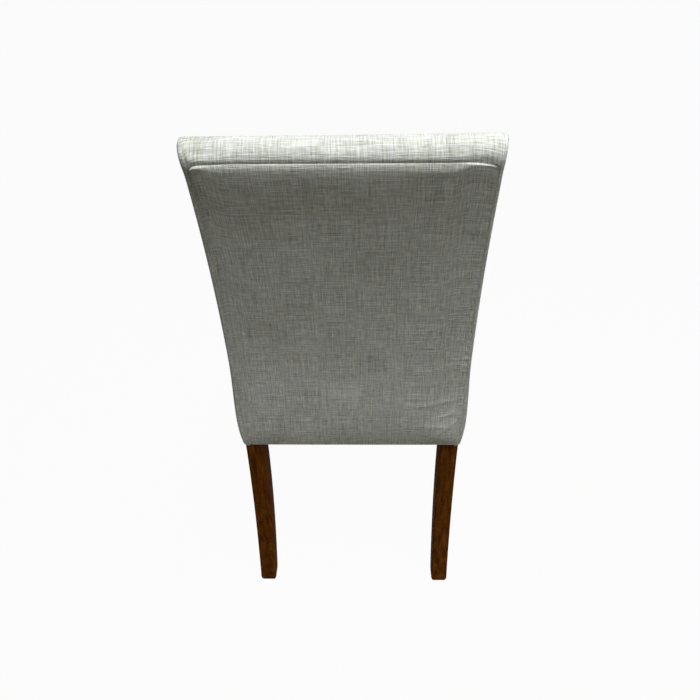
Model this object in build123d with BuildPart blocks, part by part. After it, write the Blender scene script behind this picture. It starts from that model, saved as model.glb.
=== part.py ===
from build123d import *
import os
from math import asin, degrees, radians, sin, sqrt

# Upholstered dining chair with a swept back, a rounded top and sabre rear legs.
# Millimetres, +Z up. The sitter faces -Y and the origin is on the floor under the middle of the chair.

# Overall sizes
overall_height = 1030.0
back_width = 460.0
seat_reach = 520.0
upholstery_bottom = 370.0

# Sweep of the back: two arcs that stand upright at the knee and close in on the rounded top
knee_lift = 46.5
outside_radius = 1550.0
back_depth = 82.0
roll_radius = 30.0
roll_overhang = 1.0
crease_angle = -8.0
crease_gap = 0.5

# Upholstery layers
cover_thickness = 1.5
outside_wadding_thickness = 3.5
back_foam_thickness = 22.0
seat_foam_thickness = 42.0
seat_wadding_thickness = 5.0
side_panel_thickness = 7.0
front_padding = 14.0
hem_padding = 1.5
front_hem_padding = 6.0
soft_clearance = 0.3
side_edge_radius = 2.5
fold_radius = 1.8

# Hips: the sides swell a little at seat level and draw in towards the hem
hip_lift = 75.0
hip_swell = 3.5
hip_rise = 145.0

# Seat form
seat_edge_drop = 18.0
seat_front_drop = 6.0
seat_rear_drop = 4.0
seat_crown_setback = 190.0
seat_edge_radius = 12.0

# Rear posts
post_width = 37.0
rear_foot_width = 35.0
rear_foot_depth = 34.0
rear_foot_inset = 8.0
leg_edge_radius = 4.0
foot_edge_radius = 3.0

# Front legs
front_leg_size = 42.0
front_foot_size = 33.0

# Frame rails
rail_thickness = 24.0
rail_height = 62.0
crest_rail_height = 45.0
crest_rise = 15.0
lumbar_rail_height = 50.0
lumbar_rail_thickness = 22.0
lumbar_rail_gap = 40.0

# Corner blocks and their screws
block_width = 34.0
block_height = 40.0
block_lift = 10.0
block_clearance = 2.0
screw_diameter = 4.0
screw_bite = 15.0
screw_head_diameter = 8.0
screw_head_height = 3.0
screw_recess = 10.0

# Dowels
dowel_diameter = 8.0
dowel_length = 44.0
dowel_step = 14.0
crest_dowel_spacing = 18.0
hole_clearance = 0.2

# Elastic webbing
strap_thickness = 1.6
strap_width = 50.0
strap_inset = 3.0
seat_strap_count = 4
seat_cross_strap_count = 3
back_strap_count = 4

# Rear panel's card strip and the black cloth under the seat
tack_strip_height = 12.0
tack_strip_inset = 2.0
dust_cover_thickness = 1.0
dust_cover_inset = 4.0
dust_cover_notch = 1.0

# Foot glides
glide_diameter = 24.0
glide_height = 5.0
glide_edge = 1.5
glide_nail_diameter = 3.0
glide_nail_length = 14.0

# Places worked out from the sizes above
half_width = back_width / 2
post_outer = half_width - side_panel_thickness
post_inner = post_outer - post_width
post_middle = post_outer - post_width / 2
rail_bottom = upholstery_bottom + cover_thickness
rail_top = rail_bottom + rail_height
rail_middle = rail_bottom + rail_height / 2
seat_deck = rail_top + 2 * strap_thickness
foam_crown = seat_deck + seat_foam_thickness
seat_height = foam_crown + seat_wadding_thickness + cover_thickness
knee_height = rail_top + knee_lift
hip_height = upholstery_bottom + hip_lift

# The roll lies against the outside arc, and the inside arc is the one that meets it without a kink
roll_z = overall_height - roll_radius
roll_rise = roll_z - knee_height
roll_lean = outside_radius - sqrt((outside_radius + roll_radius - roll_overhang) ** 2 - roll_rise**2)
roll_depth = back_depth + roll_lean
inside_radius = (roll_depth**2 + roll_rise**2 - roll_radius**2) / (2 * (roll_depth - roll_radius))
roll_front_angle = 180 - degrees(asin(roll_rise / (inside_radius - roll_radius)))
crease_z = roll_z + roll_radius * sin(radians(crease_angle)) - crease_gap

# The chair is centred front to back
rear_reach = roll_lean + roll_radius
overall_depth = seat_reach + rear_reach
knee_y = overall_depth / 2 - rear_reach
seat_front_y = knee_y - seat_reach
seat_rear_y = knee_y - back_depth
outside_centre_y = knee_y + outside_radius
inside_centre_y = seat_rear_y + inside_radius
roll_y = knee_y + roll_lean

# The wooden frame inside the layers
frame_rear_layer = cover_thickness + outside_wadding_thickness
padding_layer = cover_thickness + soft_clearance
strap_layer = padding_layer + back_foam_thickness + soft_clearance
frame_front_layer = strap_layer + strap_thickness
post_top = roll_z - crest_rail_height
post_front_y = seat_rear_y + frame_front_layer
frame_front_y = seat_front_y + front_padding
side_rail_inner = post_outer - rail_thickness
front_rail_inner_y = frame_front_y + rail_thickness
front_leg_inner = post_outer - front_leg_size
front_leg_rear_y = frame_front_y + front_leg_size
lumbar_low = seat_height + lumbar_rail_gap
lumbar_high = lumbar_low + lumbar_rail_height
lumbar_middle = (lumbar_low + lumbar_high) / 2
hem_half_width = post_outer + cover_thickness + hem_padding
hem_front_y = frame_front_y - cover_thickness - front_hem_padding
seat_half_width = half_width + hip_swell
hole_diameter = dowel_diameter + hole_clearance
sides = (1, -1)

os.makedirs("parts", exist_ok=True)


def outside_y(depth, height):
    """Y of the face that lies depth in front of the outside back, at a height."""
    return outside_centre_y - sqrt((outside_radius + depth) ** 2 - (height - knee_height) ** 2)


def inside_y(depth, height):
    """Y of the face that lies depth behind the inside back, at a height."""
    return inside_centre_y - sqrt((inside_radius - depth) ** 2 - (height - knee_height) ** 2)


def sweep_arc(face_y, depth, low, high):
    """Draw the arc of one face of the back between two heights, from low to high."""
    middle = (low + high) / 2
    return ThreePointArc(
        (face_y(depth, low), low),
        (face_y(depth, middle), middle),
        (face_y(depth, high), high),
    )


def roll_arc(depth):
    """Draw the rounded top from the crease behind, over the top, to the inside back."""
    return CenterArc((roll_y, roll_z), roll_radius - depth, crease_angle, roll_front_angle - crease_angle)


def band(face_y, near, far, low, high):
    """Draw and fill the layer between two depths of one face of the back."""
    with BuildLine() as outline:
        front = sweep_arc(face_y, near, low, high)
        rear = sweep_arc(face_y, far, low, high)
        Line(front @ 0, rear @ 0)
        Line(front @ 1, rear @ 1)
    make_face(outline.edges())


def back_outline(depth, low):
    """Draw and fill the side view of the whole back, drawn in by depth all round, down to low."""
    with BuildLine() as outline:
        rear = sweep_arc(outside_y, depth, low, crease_z)
        top = roll_arc(depth)
        front = sweep_arc(inside_y, depth, low, (top @ 1).Y)
        Line(rear @ 1, top @ 0)
        Line(front @ 0, rear @ 0)
    make_face(outline.edges())


def finish(builder, name):
    """Label a finished piece and write it as its own file."""
    builder.part.label = name
    export_step(builder.part, f"parts/{name}.step")


def mirrored(builder, name):
    """Write the opposite-handed copy of a piece."""
    with BuildPart() as other:
        mirror(builder.part, about=Plane.YZ)
    finish(other, name)


def upright(edge):
    """Tell whether an edge runs mostly up and down."""
    along = edge.end_point() - edge.start_point()
    return abs(along.Z) > max(abs(along.X), abs(along.Y))


def drill(places, diameter, length):
    """Cut a round hole at each place, centred on it, along its axis."""
    with Locations(*places):
        Cylinder(diameter / 2, length, mode=Mode.SUBTRACT)


# The rear rail carries the lower edge of the rear panel, so it lies at the rear of the posts
rear_rail_front_y = outside_y(frame_rear_layer, rail_top) - rail_thickness
rear_rail_middle_y = rear_rail_front_y + rail_thickness / 2

# Dowel places: the middle of each dowel lies on the joint line
across_heights = [rail_middle - dowel_step / 2, rail_middle + 1.5 * dowel_step]
along_heights = [rail_middle - 1.5 * dowel_step, rail_middle + dowel_step / 2]
front_rail_dowels = [
    Location((side * front_leg_inner, frame_front_y + rail_thickness / 2, height), (0, 90, 0))
    for side in sides
    for height in across_heights
]
rear_rail_dowels = [
    Location((side * post_inner, rear_rail_middle_y, height), (0, 90, 0))
    for side in sides
    for height in across_heights
]
side_rail_dowels = [
    Location((side * (post_outer - rail_thickness / 2), joint_y, height), (90, 0, 0))
    for side in sides
    for joint_y in (front_leg_rear_y, post_front_y)
    for height in along_heights
]
crest_dowel_y = (inside_y(frame_front_layer, post_top) + outside_y(frame_rear_layer, post_top)) / 2
crest_dowels = [
    Location((side * post_middle + step * crest_dowel_spacing / 2, crest_dowel_y, post_top))
    for side in sides
    for step in sides
]
lumbar_dowel_y = inside_y(frame_front_layer + lumbar_rail_thickness / 2, lumbar_middle)
lumbar_dowels = [
    Location((side * post_inner, lumbar_dowel_y, lumbar_middle + step * dowel_step), (0, 90, 0))
    for side in sides
    for step in sides
]

# Corner block places: each block stands back from its rails' corner to clear the leg or post there
front_setback = 2 * (front_leg_size - rail_thickness) + block_clearance
rear_setback = side_rail_inner - post_inner + rear_rail_front_y - post_front_y + block_clearance
block_bottom = rail_bottom + block_lift
block_corners = [
    (side, inner_y, inward, setback)
    for side in sides
    for inner_y, inward, setback in (
        (front_rail_inner_y, 1, front_setback),
        (rear_rail_front_y, -1, rear_setback),
    )
]

# Screw places: on the face of the rail that each screw enters, with Z pointing into the rail
screw_offset = block_width / 3
screw_grip = block_width - screw_offset - screw_recess
screw_height = block_bottom + block_height / 2
side_rail_screws = [
    Plane(
        (side * side_rail_inner, inner_y + inward * (setback + screw_offset), screw_height),
        z_dir=(side, 0, 0),
    )
    for side, inner_y, inward, setback in block_corners
]
cross_rail_screws = [
    Plane(
        (side * (side_rail_inner - setback - screw_offset), inner_y, screw_height),
        z_dir=(0, -inward, 0),
    )
    for side, inner_y, inward, setback in block_corners
]
screw_places = side_rail_screws + cross_rail_screws

# Foot places: the middle of each foot, at the top of its glide
rear_foot_rear_y = outside_y(frame_rear_layer, glide_height)
rear_foot_x = post_outer - rear_foot_inset - rear_foot_width / 2
front_foot_x = post_outer - front_foot_size / 2
foot_places = [
    Location((side * foot_x, foot_y, glide_height))
    for side in sides
    for foot_x, foot_y in (
        (rear_foot_x, rear_foot_rear_y - rear_foot_depth / 2),
        (front_foot_x, frame_front_y + front_foot_size / 2),
    )
]

# Rear post: a leg drawn in towards the foot, and above it a stile with a flat seat for the side rail.
# The rear is one sweep from foot to top.
with BuildPart() as rear_post:
    with BuildSketch(Plane.YZ):
        with BuildLine():
            leg_rear = sweep_arc(outside_y, frame_rear_layer, glide_height, upholstery_bottom)
            foot_front = (rear_foot_rear_y - rear_foot_depth, glide_height)
            leg_front = TangentArc((post_front_y, upholstery_bottom), foot_front, tangent=(0, -1))
            Line(leg_front @ 0, leg_rear @ 1)
            Line(leg_front @ 1, leg_rear @ 0)
        make_face()
    extrude(amount=back_width)
    with BuildSketch(Plane.XZ.offset(-overall_depth)):
        foot_outer = post_outer - rear_foot_inset
        Polygon(
            (post_outer, upholstery_bottom),
            (post_inner, upholstery_bottom),
            (foot_outer - rear_foot_width, glide_height),
            (foot_outer, glide_height),
            align=None,
        )
    extrude(amount=2 * overall_depth, mode=Mode.INTERSECT)
    fillet(rear_post.edges().filter_by(upright), leg_edge_radius)
    chamfer(rear_post.faces().sort_by(Axis.Z)[0].edges(), foot_edge_radius)
    with BuildSketch(Plane.YZ.offset(post_inner)):
        with BuildLine():
            stile_rear = sweep_arc(outside_y, frame_rear_layer, upholstery_bottom, post_top)
            stile_front = sweep_arc(inside_y, frame_front_layer, knee_height, post_top)
            Polyline(stile_front @ 0, (post_front_y, upholstery_bottom), stile_rear @ 0)
            Line(stile_front @ 1, stile_rear @ 1)
        make_face()
    extrude(amount=post_width)
    drill(rear_rail_dowels + side_rail_dowels + crest_dowels + lumbar_dowels, hole_diameter, dowel_length)
    drill(foot_places, glide_nail_diameter + hole_clearance, 2 * glide_nail_length)
finish(rear_post, "rear_post_left")
mirrored(rear_post, "rear_post_right")

# Front leg: square block between the rails, tapered on its two inner sides down to the foot
with BuildPart() as front_leg:
    with BuildSketch(Plane.XY.offset(upholstery_bottom)) as leg_square:
        with Locations((post_outer - front_leg_size / 2, frame_front_y + front_leg_size / 2)):
            Rectangle(front_leg_size, front_leg_size)
    with BuildSketch(Plane.XY.offset(glide_height)) as foot_square:
        with Locations((front_foot_x, frame_front_y + front_foot_size / 2)):
            Rectangle(front_foot_size, front_foot_size)
    loft(sections=[foot_square.sketch, leg_square.sketch])
    fillet(front_leg.edges().filter_by(upright), leg_edge_radius)
    chamfer(front_leg.faces().sort_by(Axis.Z)[0].edges(), foot_edge_radius)
    add(leg_square.sketch)
    extrude(amount=rail_top - upholstery_bottom)
    drill(front_rail_dowels + side_rail_dowels, hole_diameter, dowel_length)
    drill(foot_places, glide_nail_diameter + hole_clearance, 2 * glide_nail_length)
finish(front_leg, "front_leg_left")
mirrored(front_leg, "front_leg_right")

# Seat rails, flush with the outer faces of legs and posts. The rear rail is shaped to the sweep of the back,
# and the side rails stand one strap higher to meet the cross straps.
with BuildPart() as front_seat_rail:
    with Locations((0, frame_front_y + rail_thickness / 2, rail_middle)):
        Box(2 * front_leg_inner, rail_thickness, rail_height)
    drill(front_rail_dowels, hole_diameter, dowel_length)
    drill(cross_rail_screws, screw_diameter + hole_clearance, 2 * screw_bite)
finish(front_seat_rail, "front_seat_rail")

with BuildPart() as rear_seat_rail:
    with BuildSketch(Plane.YZ):
        with BuildLine():
            rail_rear = sweep_arc(outside_y, frame_rear_layer, rail_bottom, rail_top)
            Polyline(
                rail_rear @ 0,
                (rear_rail_front_y, rail_bottom),
                (rear_rail_front_y, rail_top),
                rail_rear @ 1,
            )
        make_face()
    extrude(amount=post_inner, both=True)
    drill(rear_rail_dowels, hole_diameter, dowel_length)
    drill(cross_rail_screws, screw_diameter + hole_clearance, 2 * screw_bite)
finish(rear_seat_rail, "rear_seat_rail")

with BuildPart() as side_seat_rail:
    with Locations((side_rail_inner, front_leg_rear_y, rail_bottom)):
        Box(
            rail_thickness,
            post_front_y - front_leg_rear_y,
            rail_height + strap_thickness,
            align=(Align.MIN, Align.MIN, Align.MIN),
        )
    drill(side_rail_dowels, hole_diameter, dowel_length)
    drill(side_rail_screws, screw_diameter + hole_clearance, 2 * screw_bite)
finish(side_seat_rail, "side_seat_rail_left")
mirrored(side_seat_rail, "side_seat_rail_right")

# Crest rail: stands on both posts, follows their faces and is rounded over at its top
with BuildPart() as crest_rail:
    with BuildSketch(Plane.YZ):
        with BuildLine():
            crest_rear = sweep_arc(outside_y, frame_rear_layer, post_top, roll_z)
            crest_front = sweep_arc(inside_y, frame_front_layer, post_top, roll_z)
            crest_rear_end = (outside_y(frame_rear_layer, roll_z), roll_z)
            crest_front_end = (inside_y(frame_front_layer, roll_z), roll_z)
            crest_middle_y = (crest_front_end[0] + crest_rear_end[0]) / 2
            ThreePointArc(crest_front_end, (crest_middle_y, roll_z + crest_rise), crest_rear_end)
            Line(crest_front @ 0, crest_rear @ 0)
        make_face()
    extrude(amount=post_outer, both=True)
    drill(crest_dowels, hole_diameter, dowel_length)
finish(crest_rail, "crest_rail")

# Lumbar rail: a shaped board between the posts, flush with their front faces
with BuildPart() as lumbar_rail:
    with BuildSketch(Plane.YZ):
        band(inside_y, frame_front_layer, frame_front_layer + lumbar_rail_thickness, lumbar_low, lumbar_high)
    extrude(amount=post_inner, both=True)
    drill(lumbar_dowels, hole_diameter, dowel_length)
finish(lumbar_rail, "lumbar_rail")

# Dowels, glued half in each piece
with BuildPart() as seat_rail_dowels:
    with Locations(*front_rail_dowels, *rear_rail_dowels, *side_rail_dowels):
        Cylinder(dowel_diameter / 2, dowel_length)
finish(seat_rail_dowels, "seat_rail_dowels")

with BuildPart() as back_rail_dowels:
    with Locations(*crest_dowels, *lumbar_dowels):
        Cylinder(dowel_diameter / 2, dowel_length)
finish(back_rail_dowels, "back_rail_dowels")

# Corner blocks: a diagonal brace across each inner corner of the seat frame
with BuildPart() as corner_blocks:
    with BuildSketch(Plane.XY.offset(block_bottom)):
        for side, inner_y, inward, setback in block_corners:
            far = setback + block_width
            Polygon(
                (side * side_rail_inner, inner_y + inward * setback),
                (side * side_rail_inner, inner_y + inward * far),
                (side * (side_rail_inner - far), inner_y),
                (side * (side_rail_inner - setback), inner_y),
                align=None,
            )
    extrude(amount=block_height)
    drill(screw_places, screw_diameter + hole_clearance, 2 * block_width)
    with Locations(*[place.offset(-screw_grip) for place in screw_places]):
        Cylinder(
            (screw_head_diameter + hole_clearance) / 2,
            block_width,
            align=(Align.CENTER, Align.CENTER, Align.MAX),
            mode=Mode.SUBTRACT,
        )
finish(corner_blocks, "corner_blocks")

with BuildPart() as corner_block_screws:
    with Locations(*[place.offset(screw_bite) for place in screw_places]):
        Cylinder(screw_diameter / 2, screw_bite + screw_grip, align=(Align.CENTER, Align.CENTER, Align.MAX))
    with Locations(*[place.offset(-screw_grip) for place in screw_places]):
        Cylinder(screw_head_diameter / 2, screw_head_height, align=(Align.CENTER, Align.CENTER, Align.MAX))
finish(corner_block_screws, "corner_block_screws")

# Seat webbing: lengthwise straps stapled on the front and rear rails, cross straps laid over them
seat_strap_front = frame_front_y + strap_inset
seat_strap_rear = rear_rail_front_y + rail_thickness - strap_inset
with BuildPart() as seat_webbing_lengthwise:
    with BuildSketch(Plane.XY.offset(rail_top)):
        with Locations((0, (seat_strap_front + seat_strap_rear) / 2)):
            with GridLocations(2 * front_leg_inner / seat_strap_count, 0, seat_strap_count, 1):
                Rectangle(strap_width, seat_strap_rear - seat_strap_front)
    extrude(amount=strap_thickness)
finish(seat_webbing_lengthwise, "seat_webbing_lengthwise")

with BuildPart() as seat_webbing_crosswise:
    with BuildSketch(Plane.XY.offset(rail_top + strap_thickness)):
        with Locations((0, (front_leg_rear_y + post_front_y) / 2)):
            cross_pitch = (post_front_y - front_leg_rear_y) / seat_cross_strap_count
            with GridLocations(0, cross_pitch, 1, seat_cross_strap_count):
                Rectangle(2 * (post_outer - strap_inset), strap_width)
    extrude(amount=strap_thickness)
finish(seat_webbing_crosswise, "seat_webbing_crosswise")

# Back webbing: straps across the front faces of the posts, evenly spaced up to the crest rail
back_strap_pitch = (post_top - lumbar_high) / back_strap_count
with BuildPart() as back_webbing:
    with BuildSketch(Plane.YZ):
        for number in range(back_strap_count):
            strap_middle = lumbar_high + (number + 0.5) * back_strap_pitch
            band(
                inside_y,
                strap_layer,
                frame_front_layer,
                strap_middle - strap_width / 2,
                strap_middle + strap_width / 2,
            )
    extrude(amount=post_outer - strap_inset, both=True)
finish(back_webbing, "back_webbing")

# Back foam: a swept slab on the straps, from the seat deck up to the crest rail
with BuildPart() as back_foam:
    with BuildSketch(Plane.YZ):
        band(inside_y, padding_layer, padding_layer + back_foam_thickness, seat_deck, post_top)
    extrude(amount=post_outer, both=True)
finish(back_foam, "back_foam")

# Crest roll foam: rounds the top, from the front of the crest rail over it to the crease behind
with BuildPart() as crest_roll_foam:
    with BuildSketch(Plane.YZ):
        with BuildLine():
            roll = roll_arc(padding_layer)
            roll_front = sweep_arc(inside_y, padding_layer, post_top, (roll @ 1).Y)
            rail_foot = (inside_y(frame_front_layer, post_top), post_top)
            Polyline(roll_front @ 0, rail_foot, crest_front_end, (crest_middle_y, (roll @ 0).Y), roll @ 0)
        make_face()
    extrude(amount=post_outer, both=True)
    add(crest_rail.part, mode=Mode.SUBTRACT)
finish(crest_roll_foam, "crest_roll_foam")

# Inside back cover: one length of cloth up the inside back and over the rounded top to the crease
with BuildPart() as inside_back_cover:
    with BuildSketch(Plane.YZ):
        with BuildLine():
            face_roll = roll_arc(0)
            lining_roll = roll_arc(cover_thickness)
            face = sweep_arc(inside_y, 0, seat_deck, (face_roll @ 1).Y)
            lining = sweep_arc(inside_y, cover_thickness, seat_deck, (lining_roll @ 1).Y)
            Line(face @ 0, lining @ 0)
            Line(face_roll @ 0, lining_roll @ 0)
        make_face()
    extrude(amount=post_outer, both=True)
finish(inside_back_cover, "inside_back_cover")

# Outside back: cloth with its top edge folded under, a card strip in the fold and thin wadding below it
hem_low = crease_z - tack_strip_height
with BuildPart() as outside_back_cover:
    with BuildSketch(Plane.YZ):
        band(outside_y, 0, cover_thickness, upholstery_bottom, hem_low)
        band(outside_y, 0, 2 * cover_thickness, hem_low, crease_z)
    extrude(amount=post_outer, both=True)
    fold = outside_back_cover.faces().sort_by(Axis.Z)[-1]
    fillet(fold.edges().sort_by(Axis.Y)[-1], fold_radius)
finish(outside_back_cover, "outside_back_cover")

with BuildPart() as tack_strip:
    with BuildSketch(Plane.YZ):
        band(outside_y, 2 * cover_thickness, frame_rear_layer, hem_low, crease_z)
    extrude(amount=post_outer - tack_strip_inset, both=True)
finish(tack_strip, "tack_strip")

with BuildPart() as outside_back_wadding:
    with BuildSketch(Plane.YZ):
        band(outside_y, padding_layer, frame_rear_layer - soft_clearance, upholstery_bottom, hem_low)
    extrude(amount=post_outer, both=True)
finish(outside_back_wadding, "outside_back_wadding")

# Side panel: padded border of the back, with the hip at seat level, drawn in to the hem
with BuildPart() as side_panel:
    with BuildSketch(Plane.YZ.offset(post_outer)):
        back_outline(0, upholstery_bottom)
    extrude(amount=half_width)
    with BuildSketch(Plane.XZ.offset(-overall_depth)):
        with BuildLine():
            hip = (seat_half_width, hip_height)
            waist = (half_width, hip_height + hip_rise)
            turn = (half_width + hip_swell / 2, hip_height + hip_rise / 2)
            TangentArc(hip, (hem_half_width, upholstery_bottom), tangent=(0, -1))
            TangentArc(hip, turn, tangent=(0, 1))
            TangentArc(waist, turn, tangent=(0, -1))
            Polyline(
                waist,
                (half_width, overall_height),
                (post_outer, overall_height),
                (post_outer, upholstery_bottom),
                (hem_half_width, upholstery_bottom),
            )
        make_face()
    extrude(amount=2 * overall_depth, mode=Mode.INTERSECT)
    rim_inner = half_width - side_edge_radius
    outer_edges = side_panel.edges().filter_by_position(Axis.X, rim_inner, seat_half_width)
    fillet(outer_edges.filter_by(Axis.Y, reverse=True), side_edge_radius)
finish(side_panel, "side_panel_left")
mirrored(side_panel, "side_panel_right")


def seat_section(place_y, inset, drop):
    """Draw a cross-section of the seat, drawn in by inset, with bowed sides and a crowned top."""
    crown = seat_height - drop - inset
    hem = (hem_half_width - inset, upholstery_bottom)
    hip = (seat_half_width - inset, hip_height)
    edge = (half_width - inset, crown - seat_edge_drop)
    with BuildSketch(Plane.XZ.offset(-place_y)) as section:
        with BuildLine() as outline:
            ThreePointArc(hem, hip, edge)
            ThreePointArc(edge, (0, crown), (-edge[0], edge[1]))
            ThreePointArc((-edge[0], edge[1]), (-hip[0], hip[1]), (-hem[0], hem[1]))
            Line((-hem[0], hem[1]), hem)
        make_face(outline.edges())
    return section.sketch


def seat_form(inset):
    """Loft the crowned seat, drawn in by inset, bow its front and round its top and front edges."""
    radius = seat_edge_radius - inset
    front_y = seat_front_y + inset
    hip_front = (front_y, hip_height)
    hem_front = (hem_front_y + inset, upholstery_bottom)
    sections = [
        seat_section(front_y, inset, seat_front_drop),
        seat_section(seat_front_y + seat_crown_setback, inset, 0),
        seat_section(post_front_y, inset, seat_rear_drop),
    ]
    with BuildPart() as form:
        loft(sections=sections)
        with BuildSketch(Plane.YZ):
            with BuildLine():
                TangentArc(hip_front, hem_front, tangent=(0, -1))
                Polyline(
                    hip_front,
                    (front_y, seat_height),
                    (post_front_y, seat_height),
                    (post_front_y, upholstery_bottom),
                    hem_front,
                )
            make_face()
        extrude(amount=back_width, both=True, mode=Mode.INTERSECT)
        upper_edges = form.edges().filter_by_position(Axis.Z, hip_height, seat_height)
        fillet(upper_edges.filter_by_position(Axis.Y, front_y + radius, post_front_y - radius), radius)
        front_edges = form.edges().filter_by_position(Axis.Y, front_y, hem_front_y + inset)
        fillet(front_edges.filter_by(Axis.X, reverse=True), radius)
    return form.part


seat_outer = seat_form(0)
seat_lining = seat_form(cover_thickness)
seat_padding = seat_form(padding_layer)

# Space that the back takes up, with room for the seat to clear it
with BuildPart() as back_space:
    with BuildSketch(Plane.YZ):
        back_outline(-soft_clearance, upholstery_bottom - roll_radius)
    extrude(amount=back_width, both=True)

# Seat cover: cloth over the top, front and sides, open underneath
with BuildPart() as seat_cover:
    add(seat_outer)
    add(seat_lining, mode=Mode.SUBTRACT)
    add(back_space.part, mode=Mode.SUBTRACT)
finish(seat_cover, "seat_cover")

# Seat foam: a crowned slab on the straps, as wide as the frame
with BuildPart() as seat_foam:
    with BuildSketch(Plane.XZ.offset(-seat_rear_y - back_depth)):
        with BuildLine():
            foam_edge = (post_outer, foam_crown - seat_front_drop - seat_edge_drop)
            ThreePointArc(foam_edge, (0, foam_crown - seat_front_drop), (-foam_edge[0], foam_edge[1]))
            Polyline(
                (-foam_edge[0], foam_edge[1]),
                (-post_outer, seat_deck),
                (post_outer, seat_deck),
                foam_edge,
            )
        make_face()
    extrude(amount=seat_rear_y + back_depth - frame_front_y)
    add(back_space.part, mode=Mode.SUBTRACT)
finish(seat_foam, "seat_foam")

# Seat wadding: fibre wrap over the foam and down the outer faces of the rails
with BuildPart() as seat_wadding:
    add(seat_padding)
    add(back_space.part, mode=Mode.SUBTRACT)
    add(seat_foam.part, mode=Mode.SUBTRACT)
    with Locations((0, frame_front_y, seat_deck)):
        Box(
            2 * post_outer,
            overall_depth,
            overall_height,
            align=(Align.CENTER, Align.MIN, Align.MAX),
            mode=Mode.SUBTRACT,
        )
    with Locations((0, 0, rail_bottom)):
        Box(
            2 * back_width,
            2 * overall_depth,
            overall_height,
            align=(Align.CENTER, Align.CENTER, Align.MAX),
            mode=Mode.SUBTRACT,
        )
finish(seat_wadding, "seat_wadding")

# Dust cover: black cloth under the rails, notched round legs and posts
dust_front_y = frame_front_y + dust_cover_inset
dust_rear_y = rear_rail_front_y + rail_thickness - dust_cover_inset
leg_notch = front_leg_size + dust_cover_notch
post_notch = post_width + dust_cover_notch
post_notch_depth = dust_rear_y - post_front_y + dust_cover_notch
with BuildPart() as dust_cover:
    with BuildSketch(Plane.XY.offset(rail_bottom)):
        with Locations((0, (dust_front_y + dust_rear_y) / 2)):
            Rectangle(2 * (post_outer - dust_cover_inset), dust_rear_y - dust_front_y)
        for side in sides:
            with Locations((side * post_outer, frame_front_y)):
                Rectangle(2 * leg_notch, 2 * leg_notch, mode=Mode.SUBTRACT)
            with Locations((side * post_outer, dust_rear_y)):
                Rectangle(2 * post_notch, 2 * post_notch_depth, mode=Mode.SUBTRACT)
    extrude(amount=-dust_cover_thickness)
finish(dust_cover, "dust_cover")

# Foot glides: nylon discs with a moulded-in nail, one under each foot
with BuildPart() as foot_glides:
    with Locations(*foot_places):
        Cylinder(glide_diameter / 2, glide_height, align=(Align.CENTER, Align.CENTER, Align.MAX))
    chamfer(foot_glides.faces().filter_by(Axis.Z).group_by(Axis.Z)[0].edges(), glide_edge)
    with Locations(*foot_places):
        Cylinder(glide_nail_diameter / 2, glide_nail_length, align=(Align.CENTER, Align.CENTER, Align.MIN))
finish(foot_glides, "foot_glides")
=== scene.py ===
"""Looks of an upholstered dining chair: soft covers, finishes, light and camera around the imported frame."""

import logging
import math
from dataclasses import dataclass, field
from enum import Enum
from functools import partial
from typing import Callable, Iterable, Iterator, Sequence

import bpy
from mathutils import Matrix, Vector, noise


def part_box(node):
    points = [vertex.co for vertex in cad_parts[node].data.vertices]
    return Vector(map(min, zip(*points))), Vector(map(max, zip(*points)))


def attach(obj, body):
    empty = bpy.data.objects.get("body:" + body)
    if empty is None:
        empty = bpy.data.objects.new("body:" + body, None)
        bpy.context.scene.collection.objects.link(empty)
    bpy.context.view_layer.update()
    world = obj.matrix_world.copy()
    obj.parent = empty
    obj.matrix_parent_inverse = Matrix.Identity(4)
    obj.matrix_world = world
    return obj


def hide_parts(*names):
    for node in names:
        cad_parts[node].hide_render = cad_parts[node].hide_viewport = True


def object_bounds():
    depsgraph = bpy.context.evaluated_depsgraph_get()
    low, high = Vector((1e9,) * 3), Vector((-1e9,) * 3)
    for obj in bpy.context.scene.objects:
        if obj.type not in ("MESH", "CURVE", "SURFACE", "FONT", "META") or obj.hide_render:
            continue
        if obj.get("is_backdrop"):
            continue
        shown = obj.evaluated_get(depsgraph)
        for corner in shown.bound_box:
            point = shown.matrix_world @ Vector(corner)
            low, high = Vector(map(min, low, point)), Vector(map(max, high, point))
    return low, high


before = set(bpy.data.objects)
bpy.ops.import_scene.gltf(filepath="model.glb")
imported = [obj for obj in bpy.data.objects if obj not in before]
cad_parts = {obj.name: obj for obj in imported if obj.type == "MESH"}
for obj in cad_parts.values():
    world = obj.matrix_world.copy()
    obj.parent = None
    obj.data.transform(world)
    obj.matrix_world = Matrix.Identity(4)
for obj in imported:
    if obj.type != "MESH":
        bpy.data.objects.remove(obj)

LOG = logging.getLogger("chair")
BODY = "root"
CLOTH_UV = "cloth"
IMAGE_SIZE = 700
MM = 0.001
WHITE = (1.0, 1.0, 1.0, 1.0)
PACKED_WELD = 0.01 * MM
TINY = 1e-6

Outline = list[tuple[float, float]]
Rows = list[list[Vector]]
Face = tuple[int, ...]
Socket = bpy.types.NodeSocket


class Side(Enum):
    """Side of the chair, as the sitter has it, with the sign of its X."""

    LEFT = 1
    RIGHT = -1


class Grain(Enum):
    """Axis that the grain of a wooden piece runs along, as an index."""

    ACROSS = 0
    ALONG = 1
    UPRIGHT = 2


def linear(colour: str) -> tuple[float, float, float, float]:
    """Turn an sRGB hex colour into linear light.

    Args:
        colour: Six hex digits after a hash sign.

    Returns:
        Red, green, blue and a full alpha.
    """
    parts = [int(colour[place:place + 2], 16) / 255 for place in (1, 3, 5)]
    light = [part / 12.92 if part <= 0.04045 else ((part + 0.055) / 1.055) ** 2.4 for part in parts]
    return (light[0], light[1], light[2], 1.0)


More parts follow.
